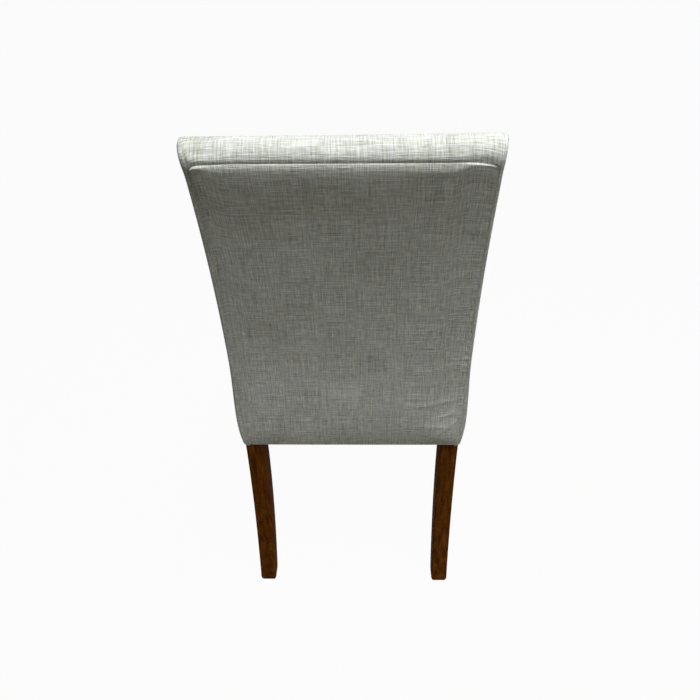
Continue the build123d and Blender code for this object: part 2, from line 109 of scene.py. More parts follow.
@dataclass(frozen=True)
class Shader:
    """Node tree of a material or a world, with short forms for the nodes that the finishes share."""

    tree: bpy.types.NodeTree

    def add(self, kind: str, inputs: dict | None = None, **settings: object) -> bpy.types.Node:
        """Add a node with its settings and links.

        Args:
            kind: Blender's type name of the node, after the word ShaderNode.
            inputs: Socket name or number to a value, or to an output socket to link.
            settings: Properties of the node.

        Returns:
            The new node.
        """
        node = self.tree.nodes.new(f"ShaderNode{kind}")
        for name, value in settings.items():
            setattr(node, name, value)
        for socket, value in (inputs or {}).items():
            if isinstance(value, Socket):
                self.tree.links.new(value, node.inputs[socket])
            else:
                node.inputs[socket].default_value = value
        return node

    def place(self) -> Socket:
        """Give the place on the piece in metres."""
        return self.add("TexCoord").outputs["Object"]

    def math(self, operation: str, *values: Socket | float) -> Socket:
        """Work out a number from others."""
        return self.add("Math", dict(enumerate(values)), operation=operation).outputs[0]

    def noise(
        self,
        place: Socket,
        sizes: Sequence[float],
        detail: float,
        distortion: float = 0.0,
        dimensions: str = "3D",
    ) -> Socket:
        """Draw noise.

        Args:
            place: Coordinates in metres.
            sizes: Size of a blot along each axis.
            detail: Number of finer layers.
            distortion: How far the blots are twisted.
            dimensions: "2D" for cloth coordinates, or "3D".

        Returns:
            Strength, about 0.5 on average.
        """
        scale = [1 / size for size in sizes]
        stretched = self.add("Mapping", {"Vector": place, "Scale": scale}).outputs[0]
        inputs = {"Vector": stretched, "Scale": 1.0, "Detail": detail, "Distortion": distortion}
        return self.add("TexNoise", inputs, noise_dimensions=dimensions).outputs["Fac"]

    def ranged(
        self, value: Socket, span: tuple[float, float], target: tuple[float, float] = (0.0, 1.0)
    ) -> Socket:
        """Stretch a span of numbers onto a target span."""
        ends = {"From Min": span[0], "From Max": span[1], "To Min": target[0], "To Max": target[1]}
        return self.add("MapRange", {"Value": value} | ends).outputs[0]

    def ramp(self, factor: Socket, *stops: tuple[float, str]) -> Socket:
        """Turn a number into a colour.

        Args:
            factor: Number from 0 to 1.
            stops: Place and hex colour of each stop.

        Returns:
            The colour.
        """
        ramp = self.add("ValToRGB", {"Fac": factor})
        elements = ramp.color_ramp.elements
        while len(elements) < len(stops):
            elements.new(1.0)
        for element, (place, colour) in zip(elements, stops):
            element.position = place
            element.color = linear(colour)
        return ramp.outputs["Color"]

    def tint(self, share: Socket, colour: Socket, tint: str) -> Socket:
        """Mix a share of a hex tint into a colour."""
        inputs = {"Factor": share, 6: colour, 7: linear(tint)}
        return self.add("Mix", inputs, data_type="RGBA").outputs[2]

    def bump(self, height: Socket, strength: float, distance: float) -> Socket:
        """Give the normal of a surface with a fine relief."""
        return self.add("Bump", {"Height": height, "Strength": strength, "Distance": distance}).outputs[0]

    def surface(self, colour: Socket, roughness: Socket | float, normal: Socket, **more: float) -> None:
        """Finish a material.

        Args:
            colour: Its colour.
            roughness: Its roughness.
            normal: Its relief.
            more: Further inputs, with underscores for spaces.
        """
        inputs = {"Base Color": colour, "Roughness": roughness, "Normal": normal}
        inputs |= {name.replace("_", " "): value for name, value in more.items()}
        body = self.add("BsdfPrincipled", inputs)
        self.add("OutputMaterial", {"Surface": body.outputs[0]})


def new_material(name: str) -> tuple[bpy.types.Material, Shader]:
    """Make an empty node material.

    Args:
        name: Name of the real material and how its surface was made.

    Returns:
        The material and its node tree.
    """
    material = bpy.data.materials.new(name)
    material.use_nodes = True
    material.node_tree.nodes.clear()
    return material, Shader(material.node_tree)


@dataclass(frozen=True)
class SlubLinen:
    """Slubby plain-weave linen, piece-dyed light grey.

    Uneven yarn gives long thin streaks both ways, with a faint cross-hatch of single threads under them.
    """

    name: str = "linen_plain_weave_slubbed"
    shade: str = "#c8c8bc"
    pale: str = "#eeefe6"
    deep: str = "#969689"
    warm: str = "#d6cfa6"
    cool: str = "#c3c0c6"
    # Real threads lie under 1 mm apart. They are drawn coarser, because a pixel covers about 1.5 mm.
    slub_width: float = 2.0 * MM
    slub_length: float = 75 * MM
    thread_width: float = 1.7 * MM
    thread_length: float = 18 * MM
    weave_pitch: float = 3.1 * MM
    tint_width: float = 2.4 * MM
    tint_length: float = 60 * MM
    patch_size: float = 120 * MM
    patch_share: float = 0.35
    weave_share: float = 0.25
    tone_span: tuple[float, float] = (1.50, 2.85)
    tint_span: tuple[float, float] = (0.56, 0.8)
    warm_most: float = 0.3
    cool_most: float = 0.55
    relief: float = 0.5 * MM
    roughness: float = 0.94
    shine: float = 0.2
    sheen: float = 0.12
    sheen_roughness: float = 0.55

    def streaks(self, shader: Shader, place: Socket, width: float, length: float) -> tuple[Socket, Socket]:
        """Draw yarn streaks along the warp and along the weft."""
        yarns = ((width, length, 1.0), (length, width, 1.0))
        warp, weft = (shader.noise(place, sizes, 1.0, dimensions="2D") for sizes in yarns)
        return warp, weft

    def build(self) -> bpy.types.Material:
        """Make the linen material.

        Returns:
            The material, which reads each piece's cloth coordinates.
        """
        material, shader = new_material(self.name)
        place = shader.add("UVMap", uv_map=CLOTH_UV).outputs["UV"]
        slub = shader.math("ADD", *self.streaks(shader, place, self.slub_width, self.slub_length))
        thread = shader.math("ADD", *self.streaks(shader, place, self.thread_width, self.thread_length))
        warp_tint, weft_tint = self.streaks(shader, place, self.tint_width, self.tint_length)
        patch = shader.noise(place, (self.patch_size, self.patch_size, 1.0), 1.0, dimensions="2D")

        yarn = shader.math("ADD", slub, thread)
        tone = shader.math("MULTIPLY_ADD", patch, self.patch_share, yarn)
        level = shader.ranged(tone, self.tone_span)
        grey = shader.ramp(level, (0.0, self.deep), (0.5, self.shade), (1.0, self.pale))
        warm_part = shader.ranged(warp_tint, self.tint_span, (0.0, self.warm_most))
        cool_part = shader.ranged(weft_tint, self.tint_span, (0.0, self.cool_most))
        tinted = shader.tint(cool_part, shader.tint(warm_part, grey, self.warm), self.cool)

        turns = {0: place, "Scale": math.tau / self.weave_pitch}
        spread = shader.add("VectorMath", turns, operation="SCALE").outputs[0]
        ways = shader.add("SeparateXYZ", {0: spread}).outputs
        weave = shader.math("MULTIPLY", shader.math("SINE", ways[0]), shader.math("SINE", ways[1]))
        height = shader.math("MULTIPLY_ADD", weave, self.weave_share, yarn)
        shader.surface(
            tinted,
            self.roughness,
            shader.bump(height, 1.0, self.relief),
            Specular_IOR_Level=self.shine,
            Sheen_Weight=self.sheen,
            Sheen_Roughness=self.sheen_roughness,
        )
        return material


@dataclass(frozen=True)
class GrainedWood:
    """Sawn and sanded wood with its grain along one axis, bare or under stain and lacquer.

    Growth rings give soft bands, and pores give short dark strokes that are a little rougher.
    """

    name: str
    dark: str
    middle: str
    light: str
    grain: Grain = Grain.UPRIGHT
    ring_width: float = 7 * MM
    ring_stretch: float = 22.0
    ring_twist: float = 0.6
    pore_width: float = 0.9 * MM
    pore_length: float = 26 * MM
    pore_share: float = 0.45
    figure_span: tuple[float, float] = (0.5, 0.95)
    roughness: float = 0.55
    gloss_change: float = 0.08
    shine: float = 0.35
    relief: float = 0.3 * MM
    relief_strength: float = 0.18

    def build(self) -> bpy.types.Material:
        """Make the wood material.

        Returns:
            The material, which reads Object coordinates.
        """
        material, shader = new_material(self.name)
        place = shader.place()
        ring_sizes = [self.ring_width] * 3
        ring_sizes[self.grain.value] *= self.ring_stretch
        pore_sizes = [self.pore_width] * 3
        pore_sizes[self.grain.value] = self.pore_length
        ring = shader.noise(place, ring_sizes, 3.0, self.ring_twist)
        pore = shader.noise(place, pore_sizes, 1.0)
        figure = shader.math("MULTIPLY_ADD", pore, self.pore_share, ring)
        level = shader.ranged(figure, self.figure_span)
        colour = shader.ramp(level, (0.0, self.dark), (0.5, self.middle), (1.0, self.light))
        glosses = (self.roughness + self.gloss_change, self.roughness - self.gloss_change)
        gloss = shader.ranged(pore, (0.0, 1.0), glosses)
        normal = shader.bump(figure, self.relief_strength, self.relief)
        shader.surface(colour, gloss, normal, Specular_IOR_Level=self.shine)
        return material


@dataclass(frozen=True)
class SpeckledSurface:
    """Small plain piece of one stuff, with the fine mottle that its making leaves."""

    name: str
    dark: str
    light: str
    grit: float
    relief: float
    roughness: float
    metallic: float = 0.0
    relief_strength: float = 0.3

    def build(self) -> bpy.types.Material:
        """Make the material.

        Returns:
            The material, which reads Object coordinates.
        """
        material, shader = new_material(self.name)
        mottle = shader.noise(shader.place(), [self.grit] * 3, 3.0)
        colour = shader.ramp(mottle, (0.3, self.dark), (0.7, self.light))
        normal = shader.bump(mottle, self.relief_strength, self.relief)
        shader.surface(colour, self.roughness, normal, Metallic=self.metallic)
        return material


@dataclass(frozen=True)
class WovenStrap:
    """Elastic upholstery webbing, woven with rubber warp: a dark checkered weave with a light fuzz."""

    name: str = "webbing_elastic_woven"
    # Drawn coarser than the real weave, so that it shows.
    rib_pitch: float = 3 * MM
    rib_share: float = 0.5
    dark: str = "#2b2420"
    light: str = "#54483e"
    roughness: float = 0.9
    relief: float = 0.4 * MM
    relief_strength: float = 0.5

    def build(self) -> bpy.types.Material:
        """Make the strap material.

        Returns:
            The material, which reads Object coordinates.
        """
        material, shader = new_material(self.name)
        place = shader.place()
        ribs = shader.add("TexChecker", {"Vector": place, "Scale": 1 / self.rib_pitch}).outputs["Fac"]
        fuzz = shader.noise(place, [self.rib_pitch / 2] * 3, 2.0)
        height = shader.math("MULTIPLY_ADD", ribs, self.rib_share, fuzz)
        colour = shader.ramp(height, (0.35, self.dark), (1.0, self.light))
        shader.surface(colour, self.roughness, shader.bump(height, self.relief_strength, self.relief))
        return material


@dataclass(frozen=True)
class SpunbondCloth:
    """Black spunbond polypropylene, point-bonded: a matt cloth with a grid of small pressed dots."""

    name: str = "polypropylene_spunbond_black"
    # Drawn coarser than the real dots, which lie 1 to 2 mm apart.
    dot_pitch: float = 3.5 * MM
    dot_span: tuple[float, float] = (0.22, 0.36)
    fibre: str = "#191919"
    dot: str = "#0c0c0d"
    roughness: float = 0.85
    sheen: float = 0.1
    relief: float = 0.25 * MM
    relief_strength: float = 0.5

    def build(self) -> bpy.types.Material:
        """Make the cloth material.

        Returns:
            The material, which reads Object coordinates.
        """
        material, shader = new_material(self.name)
        grid = {"Vector": shader.place(), "Scale": 1 / self.dot_pitch, "Randomness": 0.0}
        dots = shader.add("TexVoronoi", grid, voronoi_dimensions="2D").outputs["Distance"]
        pressed = shader.ranged(dots, self.dot_span)
        colour = shader.ramp(pressed, (0.0, self.dot), (1.0, self.fibre))
        normal = shader.bump(pressed, self.relief_strength, self.relief)
        shader.surface(colour, self.roughness, normal, Sheen_Weight=self.sheen)
        return material


def only_active(piece: bpy.types.Object) -> None:
    """Select one piece alone and make it active."""
    bpy.ops.object.select_all(action="DESELECT")
    piece.select_set(True)
    bpy.context.view_layer.objects.active = piece


def apply_modifier(piece: bpy.types.Object, kind: str, **settings: object) -> None:
    """Add a modifier to a piece and apply it.

    Args:
        piece: Piece to change.
        kind: Blender's type name of the modifier.
        settings: Properties of the modifier.
    """
    only_active(piece)
    modifier = piece.modifiers.new(kind.lower(), kind)
    for name, value in settings.items():
        setattr(modifier, name, value)
    bpy.ops.object.modifier_apply(modifier=modifier.name)


def edit_mesh(piece: bpy.types.Object, *steps: Callable[[], object]) -> None:
    """Run editing steps, each on the whole of a piece's mesh.

    Args:
        piece: Piece to change.
        steps: Editing steps in order.
    """
    only_active(piece)
    bpy.ops.object.mode_set(mode="EDIT")
    for step in steps:
        bpy.ops.mesh.select_all(action="SELECT")
        step()
    bpy.ops.object.mode_set(mode="OBJECT")


def weld(distance: float) -> Callable[[], object]:
    """Give the editing step that joins points closer than a distance."""
    return partial(bpy.ops.mesh.remove_doubles, threshold=distance)


def add_object(name: str, data: bpy.types.ID) -> bpy.types.Object:
    """Put a mesh, a light or a camera into the scene."""
    added = bpy.data.objects.new(name, data)
    bpy.context.scene.collection.objects.link(added)
    return added


def new_piece(name: str, points: Sequence[Vector], faces: Sequence[Face]) -> bpy.types.Object:
    """Make a smooth mesh piece at the origin.

    Args:
        name: Name of the piece.
        points: Places of its vertices in the chair's frame.
        faces: Vertex numbers of each face.

    Returns:
        The new object.
    """
    mesh = bpy.data.meshes.new(name)
    mesh.from_pydata([tuple(point) for point in points], [], faces)
    mesh.polygons.foreach_set("use_smooth", [True] * len(mesh.polygons))
    return add_object(name, mesh)


def copy_node(node: str, name: str) -> bpy.types.Object:
    """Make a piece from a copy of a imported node's mesh."""
    return add_object(name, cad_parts[node].data.copy())


def grid_faces(height: int, width: int) -> Iterator[Face]:
    """Give the faces of a grid of points, row by row.

    Args:
        height: Number of rows.
        width: Number of points in a row.

    Returns:
        Vertex numbers of each face.
    """
    for row in range(height - 1):
        for column in range(width - 1):
            first = row * width + column
            yield (first, first + 1, first + width + 1, first + width)


def lengths(points: Sequence[Vector]) -> list[float]:
    """Give the running length along a row of points, measured from its middle.

    Args:
        points: Points of the row in order.

    Returns:
        Length at each point.
    """
    total = [0.0]
    for near, far in zip(points, points[1:]):
        total.append(total[-1] + (far - near).length)
    middle = total[len(total) // 2]
    return [length - middle for length in total]


def sheet_of_rows(name: str, rows: Rows, cloth_origin: float, flip: bool) -> bpy.types.Object:
    """Make an open sheet of cloth from rows of points, with cloth coordinates in metres.

    Args:
        name: Name of the piece.
        rows: Rows of points, all equally long.
        cloth_origin: Place of the sheet on the bolt, so that no two pieces show the same streaks.
        flip: Whether to turn the faces round.

    Returns:
        The new object.
    """
    width = len(rows[0])
    faces = [face[::-1] if flip else face for face in grid_faces(len(rows), width)]
    piece = new_piece(name, [point for row in rows for point in row], faces)
    along = lengths([row[width // 2] for row in rows])
    across = [lengths(row) for row in rows]
    cloth = piece.data.uv_layers.new(name=CLOTH_UV)
    for loop in piece.data.loops:
        row, column = divmod(loop.vertex_index, width)
        cloth.data[loop.index].uv = (across[row][column] + cloth_origin, along[row] + cloth_origin)
    return piece


@dataclass(frozen=True)
class Padding:
    """How padding presses a sheet of cloth out between its seams.

    The push is the pressure under the cloth, and the cap is the furthest that a point may move.
    """

    push: float
    cap: float
    frames: int = 20
    quality: int = 6
    mass: float = 0.3
    stretch_stiffness: float = 25.0
    shear_stiffness: float = 15.0
    bending_stiffness: float = 2.0

    def swell(self, piece: bpy.types.Object, held: Iterable[int]) -> None:
        """Press a sheet out.

        Args:
            piece: Sheet to press out.
            held: Vertices that a seam or a staple holds.
        """
        rest = [vertex.co.copy() for vertex in piece.data.vertices]
        seams = piece.vertex_groups.new(name="seams")
        seams.add(list(held), 1.0, "REPLACE")
        only_active(piece)
        modifier = piece.modifiers.new("cloth", "CLOTH")
        self.prepare(modifier, seams.name)
        for number in range(1, self.frames + 1):
            bpy.context.scene.frame_set(number)
        bpy.ops.object.modifier_apply(modifier=modifier.name)
        bpy.context.scene.frame_set(1)
        for vertex, start in zip(piece.data.vertices, rest):
            move = vertex.co - start
            if move.length > 0:
                vertex.co = start + move.normalized() * self.cap * (1 - math.exp(-move.length / self.cap))
        piece.vertex_groups.clear()

    def prepare(self, modifier: bpy.types.Modifier, seams: str) -> None:
        """Set a cloth modifier up.

        Args:
            modifier: The modifier.
            seams: Name of the group of held vertices.
        """
        cloth = modifier.settings
        cloth.vertex_group_mass = seams
        cloth.use_pressure = True
        cloth.uniform_pressure_force = self.push
        cloth.effector_weights.gravity = 0.0
        cloth.quality = self.quality
        cloth.mass = self.mass
        cloth.tension_stiffness = self.stretch_stiffness
        cloth.compression_stiffness = self.stretch_stiffness
        cloth.shear_stiffness = self.shear_stiffness
        cloth.bending_stiffness = self.bending_stiffness
        modifier.point_cache.frame_start = 1
        modifier.point_cache.frame_end = self.frames


def finish_soft(
    piece: bpy.types.Object, thickness: float, relief: Callable[[Vector], float] | None = None
) -> None:
    """Subdivide a pressed-out sheet once, work it by hand and give it its thickness inwards.

    Args:
        piece: Sheet to finish.
        thickness: Thickness of the cloth.
        relief: Gives the lift of the cloth at a place, for wrinkles and dents.
    """
    apply_modifier(piece, "SUBSURF", levels=1, render_levels=1)
    if relief:
        lifts = [vertex.normal * relief(vertex.co) for vertex in piece.data.vertices]
        for vertex, lift in zip(piece.data.vertices, lifts):
            vertex.co += lift
    apply_modifier(piece, "SOLIDIFY", thickness=thickness, offset=-1.0)
    piece.data.polygons.foreach_set("use_smooth", [True] * len(piece.data.polygons))


def tie(piece: bpy.types.Object, material: bpy.types.Material, nodes: Sequence[str]) -> None:
    """Dress a piece, tie it to the frame and report it.

    Args:
        piece: The piece.
        material: Its finish.
        nodes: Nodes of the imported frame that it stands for.
    """
    piece.data.materials.clear()
    piece.data.materials.append(material)
    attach(piece, BODY)
    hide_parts(*nodes)
    LOG.info("%s: %d faces", piece.name, len(piece.data.polygons))


def arc(centre: tuple[float, float], radius: float, first: float, last: float, steps: int) -> Outline:
    """Give points on a side-view arc.

    Args:
        centre: Centre of the arc as (y, z).
        radius: Its radius.
        first: Angle of the first point in degrees, from straight back towards up.
        last: Angle of the last point.
        steps: Number of steps between them.

    Returns:
        Points as (y, z).
    """
    angles = [math.radians(first + (last - first) * step / steps) for step in range(steps + 1)]
    return [(centre[0] + radius * math.cos(angle), centre[1] + radius * math.sin(angle)) for angle in angles]


def bend(line: Outline, radius: float, first: float, last: float, steps: int) -> None:
    """Lengthen a side-view line by an arc that starts at its end.

    Args:
        line: Line to lengthen.
        radius: Radius of the arc.
        first: Angle at which the line's end lies on the arc, in degrees.
        last: Angle of the arc's end.
        steps: Number of new points.
    """
    turn = math.radians(first)
    centre = (line[-1][0] - radius * math.cos(turn), line[-1][1] - radius * math.sin(turn))
    line += arc(centre, radius, first, last, steps)[1:]


def run_on(line: Outline, length: float, angle: float, steps: int = 2) -> None:
    """Lengthen a side-view line straight on.

    Args:
        line: Line to lengthen.
        length: Length to add.
        angle: Direction in degrees, from straight back towards up.
        steps: Number of new points.
    """
    y, z = line[-1]
    turn = math.radians(angle)
    for step in range(1, steps + 1):
        reach = length * step / steps
        line.append((y + reach * math.cos(turn), z + reach * math.sin(turn)))


def spaced(first: float, last: float, step: float) -> list[float]:
    """Give evenly spaced numbers, both ends included, about one step apart."""
    count = max(1, round(abs(last - first) / step))
    return [first + (last - first) * number / count for number in range(count + 1)]


def part_way(value: float, first: float, last: float) -> float:
    """Give how far a value lies from a first to a last one, from 0 to 1."""
    return min(max((value - first) / (last - first), 0.0), 1.0)


def ease(value: float) -> float:
    """Rise smoothly from 0 to 1 as the value does."""
    value = min(max(value, 0.0), 1.0)
    return value * value * (3 - 2 * value)


@dataclass(frozen=True)
class RollEnd:
    """How one end of the rounded top, and the panel's corners under it, were pulled and stuffed by hand.

    The crease sinks towards the end seam, the seam runs outwards up to the tip, and the border bulges
    beside it.
    """

    corner_drop: float
    corner_reach: float
    long_drop: float
    long_reach: float
    seam_flare: float
    tip_share: float
    side_flare: float
    side_power: float
    soft_reach: float
    tuck_extra: float
    fold_push: float
    shoulder_fade: tuple[float, float]


LEFT_END = RollEnd(
    corner_drop=0.0072, corner_reach=0.012, long_drop=0.0028, long_reach=0.060,
    seam_flare=0.0105, tip_share=0.45, side_flare=0.0062, side_power=2.0, soft_reach=0.045,
    tuck_extra=-0.003, fold_push=0.0025, shoulder_fade=(0.012, 0.050),
)
RIGHT_END = RollEnd(
    corner_drop=0.0010, corner_reach=0.010, long_drop=0.0060, long_reach=0.058,
    seam_flare=0.0105, tip_share=0.10, side_flare=0.0033, side_power=3.0, soft_reach=0.080,
    tuck_extra=0.003, fold_push=-0.0050, shoulder_fade=(0.034, 0.062),
)


@dataclass(frozen=True)
class BackSweep:
    """Side view of the back: two arcs, upright at the knee, that close in on the rounded top.

    Lengths are metres in the chair's frame, and points are (y, z).
    """

    rear_limit: float
    top: float
    seam_x: float = 0.223
    half_width: float = 0.2313
    hem_z: float = 0.3675
    knee_z: float = 0.480
    outside_radius: float = 1.550
    back_depth: float = 0.082
    roll_radius: float = 0.030
    roll_overhang: float = 0.001
    shelf_lift: float = 0.0009
    crease_tilt: float = 0.004
    top_puff: float = 0.0047
    top_puff_reach: float = 0.110
    top_puff_fade: float = 0.010
    fold_push_reach: float = 0.075
    hem_pull: float = 0.0035
    hem_pull_reach: float = 0.036
    low_puff: float = 0.0045
    low_puff_z: float = 0.560
    low_puff_hem: float = 0.050
    hem_half_width: float = 0.226
    hip_z: float = 0.445
    hip_swell: float = 0.0035
    waist_z: float = 0.590
    side_flare_z: float = 0.955
    side_flare_end_z: float = 1.025
    seam_flare_z: float = 0.990
    seam_tip_z: float = 1.0275
    flare_end_power: int = 6
    flare_rise_power: float = 1.2
    flare_tip_power: int = 12
    corner_power: float = 1.5
    left_end: RollEnd = LEFT_END
    right_end: RollEnd = RIGHT_END

    @property
    def roll_z(self) -> float:
        """Height of the middle of the rounded top."""
        return self.top - self.roll_radius

    @property
    def roll_rise(self) -> float:
        """Height of the middle of the rounded top above the knee."""
        return self.roll_z - self.knee_z

    @property
    def roll_lean(self) -> float:
        """How far the middle of the rounded top lies behind the knee."""
        reach = self.outside_radius + self.roll_radius - self.roll_overhang
        return self.outside_radius - math.sqrt(reach**2 - self.roll_rise**2)

    @property
    def knee_y(self) -> float:
        """Y of the outside back at the knee."""
        return self.rear_limit - self.roll_radius - self.roll_lean

    @property
    def roll_centre(self) -> tuple[float, float]:
        """Middle of the rounded top."""
        return (self.knee_y + self.roll_lean, self.roll_z)

    @property
    def inside_radius(self) -> float:
        """Radius of the inside arc, which meets the rounded top without a kink."""
        depth = self.back_depth + self.roll_lean
        return (depth**2 + self.roll_rise**2 - self.roll_radius**2) / (2 * (depth - self.roll_radius))

    @property
    def roll_front_angle(self) -> float:
        """Angle at which the inside back runs into the rounded top."""
        return 180 - math.degrees(math.asin(self.roll_rise / (self.inside_radius - self.roll_radius)))

    @property
    def shelf_z(self) -> float:
        """Height of the rear panel's folded top edge, just under the crease."""
        return self.roll_z + self.shelf_lift

    def end(self, x: float) -> RollEnd:
        """Give the hand-made shape of the end that an X lies towards."""
        return self.left_end if x > 0 else self.right_end

    def roll_point(self, angle: float, depth: float) -> tuple[float, float]:
        """Give the point of the rounded top at an angle and a depth under its surface."""
        reach = self.roll_radius - depth
        turn = math.radians(angle)
        return (self.roll_centre[0] + reach * math.cos(turn), self.roll_centre[1] + reach * math.sin(turn))

    def outside_padding(self, x: float, height: float) -> float:
        """Give how far the padding lifts the outside back.

        Args:
            x: Place across the chair.
            height: Height above the floor.

        Returns:
            Distance out of the plain arc, which is negative at the pulled-in hem.
        """
        from_seam = max(0.0, self.seam_x - abs(x))
        full = 1 - (1 - min(from_seam / self.top_puff_fade, 1.0)) ** 2
        puff = self.top_puff + self.end(x).fold_push * (1 - ease(from_seam / self.fold_push_reach))
        top = puff * full * ease(1 - (self.shelf_z - height) / self.top_puff_reach)
        hem = self.hem_pull * max(0.0, 1 - (height - self.hem_z) / self.hem_pull_reach) ** 2
        corner = max(0.0, 1 - from_seam / self.end(x).soft_reach) ** 2
        low = ease((self.low_puff_z - height) / (self.low_puff_z - self.hip_z))
        low *= ease((height - self.hem_z) / self.low_puff_hem)
        return top - hem + self.low_puff * low * (1 - corner)

    def outside_y(self, depth: float, height: float, x: float) -> float:
        """Give Y at a depth in front of the padded outside back, at a height and an X."""
        centre = self.knee_y + self.outside_radius
        plain = centre - math.sqrt((self.outside_radius + depth) ** 2 - (height - self.knee_z) ** 2)
        return plain + self.outside_padding(x, height)

    def seam_flare(self, x: float, height: float) -> float:
        """Give how far the end seams of the rounded top lie outside the plain width.

        Args:
            x: Place across the chair.
            height: Height above the floor.

        Returns:
            Distance to add to X.
        """
        end = self.end(x)
        near_end = min(abs(x) / self.seam_x, 1.0) ** self.flare_end_power
        share = part_way(height, self.seam_flare_z, self.seam_tip_z)
        outwards = (1 - end.tip_share) * share**self.flare_rise_power
        outwards += end.tip_share * share**self.flare_tip_power
        return math.copysign(end.seam_flare * near_end * outwards, x)

    def side_flare(self, x: float, height: float) -> float:
        """Give how far the borders lie outside the plain width beside the rounded top, with the sign of X."""
        end = self.end(x)
        share = part_way(height, self.side_flare_z, self.side_flare_end_z)
        return math.copysign(end.side_flare * share**end.side_power, x)

    def inside_y(self, depth: float, height: float) -> float:
        """Give Y at a depth behind the inside back, at a height."""
        centre = self.knee_y - self.back_depth + self.inside_radius
        return centre - math.sqrt((self.inside_radius - depth) ** 2 - (height - self.knee_z) ** 2)

    def outside_lean(self, height: float) -> float:
        """Give the angle in degrees by which the outside back faces down at a height."""
        return math.degrees(math.asin((height - self.knee_z) / self.outside_radius))

    def crease_drop(self, x: float) -> float:
        """Give how far the crease sinks towards the side seams, with the slight tilt of a hand-set line.

        Args:
            x: Place across the chair.

        Returns:
            The drop in metres, nothing in the middle and less than nothing where the line tilts up.
        """
        end = self.end(x)
        from_seam = self.seam_x - abs(x)
        corner = max(0.0, 1 - from_seam / end.corner_reach)
        slope = max(0.0, 1 - from_seam / end.long_reach)
        drop = end.corner_drop * corner**self.corner_power + end.long_drop * slope**2
        return drop - self.crease_tilt * x

    def side_x(self, height: float) -> float:
        """Give the half width of the padded sides at a height, with the hip at seat level.

        Args:
            height: Height above the floor.

        Returns:
            Distance from the middle plane.
        """
        hip = self.half_width + self.hip_swell
        if height < self.hip_z:
            share = (self.hip_z - height) / (self.hip_z - self.hem_z)
            return hip - (hip - self.hem_half_width) * share**2
        turn_z = (self.hip_z + self.waist_z) / 2
        half = turn_z - self.hip_z
        if height < turn_z:
            return hip - self.hip_swell / 2 * ((height - self.hip_z) / half) ** 2
        if height < self.waist_z:
            return self.half_width + self.hip_swell / 2 * ((self.waist_z - height) / half) ** 2
        return self.half_width


@dataclass
class BackFace:
    """Sheet of cloth that crosses the back from side seam to side seam."""

    sweep: BackSweep
    material: bpy.types.Material
    cell: float = 8 * MM
    seam_roll: float = 5 * MM
    seam_depth: float = 0.6 * MM
    seam_steps: int = 5
    cloth_thickness: float = 2.5 * MM
    unevenness: float = 0.35 * MM
    uneven_size: float = 85 * MM
    padding: Padding = Padding(push=3.0, cap=2.5 * MM)
    fill: float = 0.7
    bolt_place: float = 0.7

    def columns(self) -> list[tuple[float, float]]:
        """Give the places across the back.

        Returns:
            Pairs of X and how deep the cloth dips into the side seam there.
        """
        edge = self.sweep.seam_x - self.seam_roll
        rounds = []
        for step in range(1, self.seam_steps + 1):
            share = step / self.seam_steps
            rounds.append((edge + self.seam_roll * share, self.seam_depth * share**2))
        left = [(-x, dip) for x, dip in reversed(rounds)]
        return left + [(x, 0.0) for x in spaced(-edge, edge, self.cell)] + rounds

    def rows(self, path: Callable[[float], Outline], outward: float) -> Rows:
        """Sweep a side-view path across the back.

        Args:
            path: Gives the path at an X, always with as many points.
            outward: 1 if the outer side lies right of the path's direction, or -1.

        Returns:
            Rows of points, one row for each point of the path.
        """
        columns = []
        for x, dip in self.columns():
            line = path(x)
            column = []
            for number, (y, z) in enumerate(line):
                near = line[max(number - 1, 0)]
                far = line[min(number + 1, len(line) - 1)]
                along = Vector((far[0] - near[0], far[1] - near[1])).normalized()
                push = -outward * dip
                flared = x + self.sweep.seam_flare(x, z)
                column.append(Vector((flared, y + along.y * push, z - along.x * push)))
            columns.append(column)
        return [list(row) for row in zip(*columns)]

    def relief(self, place: Vector) -> float:
        """Give how far hand work lifts the cloth out of its even shape at a place."""
        return noise.noise(place / self.uneven_size) * self.unevenness

    def border(self, rows: Rows, held_rows: Iterable[int]) -> set[int]:
        """Give the vertices on the side seams and on some rows.

        Args:
            rows: Rows of the sheet.
            held_rows: Numbers of the rows that are held.

        Returns:
            Vertex numbers.
        """
        width = len(rows[0])
        sides = {row * width + place for row in range(len(rows)) for place in (0, 1, width - 2, width - 1)}
        across = {row % len(rows) * width + place for row in held_rows for place in range(width)}
        return sides | across

    def make(self, name: str, rows: Rows, held: Iterable[int], nodes: Sequence[str], flip: bool) -> None:
        """Make the sheet, press it out, work it by hand and tie it to the frame.

        Args:
            name: Name of the piece.
            rows: Its rows of points.
            held: Numbers of the rows that are held.
            nodes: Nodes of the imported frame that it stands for.
            flip: Whether to turn the faces round.
        """
        piece = sheet_of_rows(name, rows, self.bolt_place, flip)
        self.padding.swell(piece, self.border(rows, held))
        finish_soft(piece, self.cloth_thickness, self.relief)
        tie(piece, self.material, nodes)


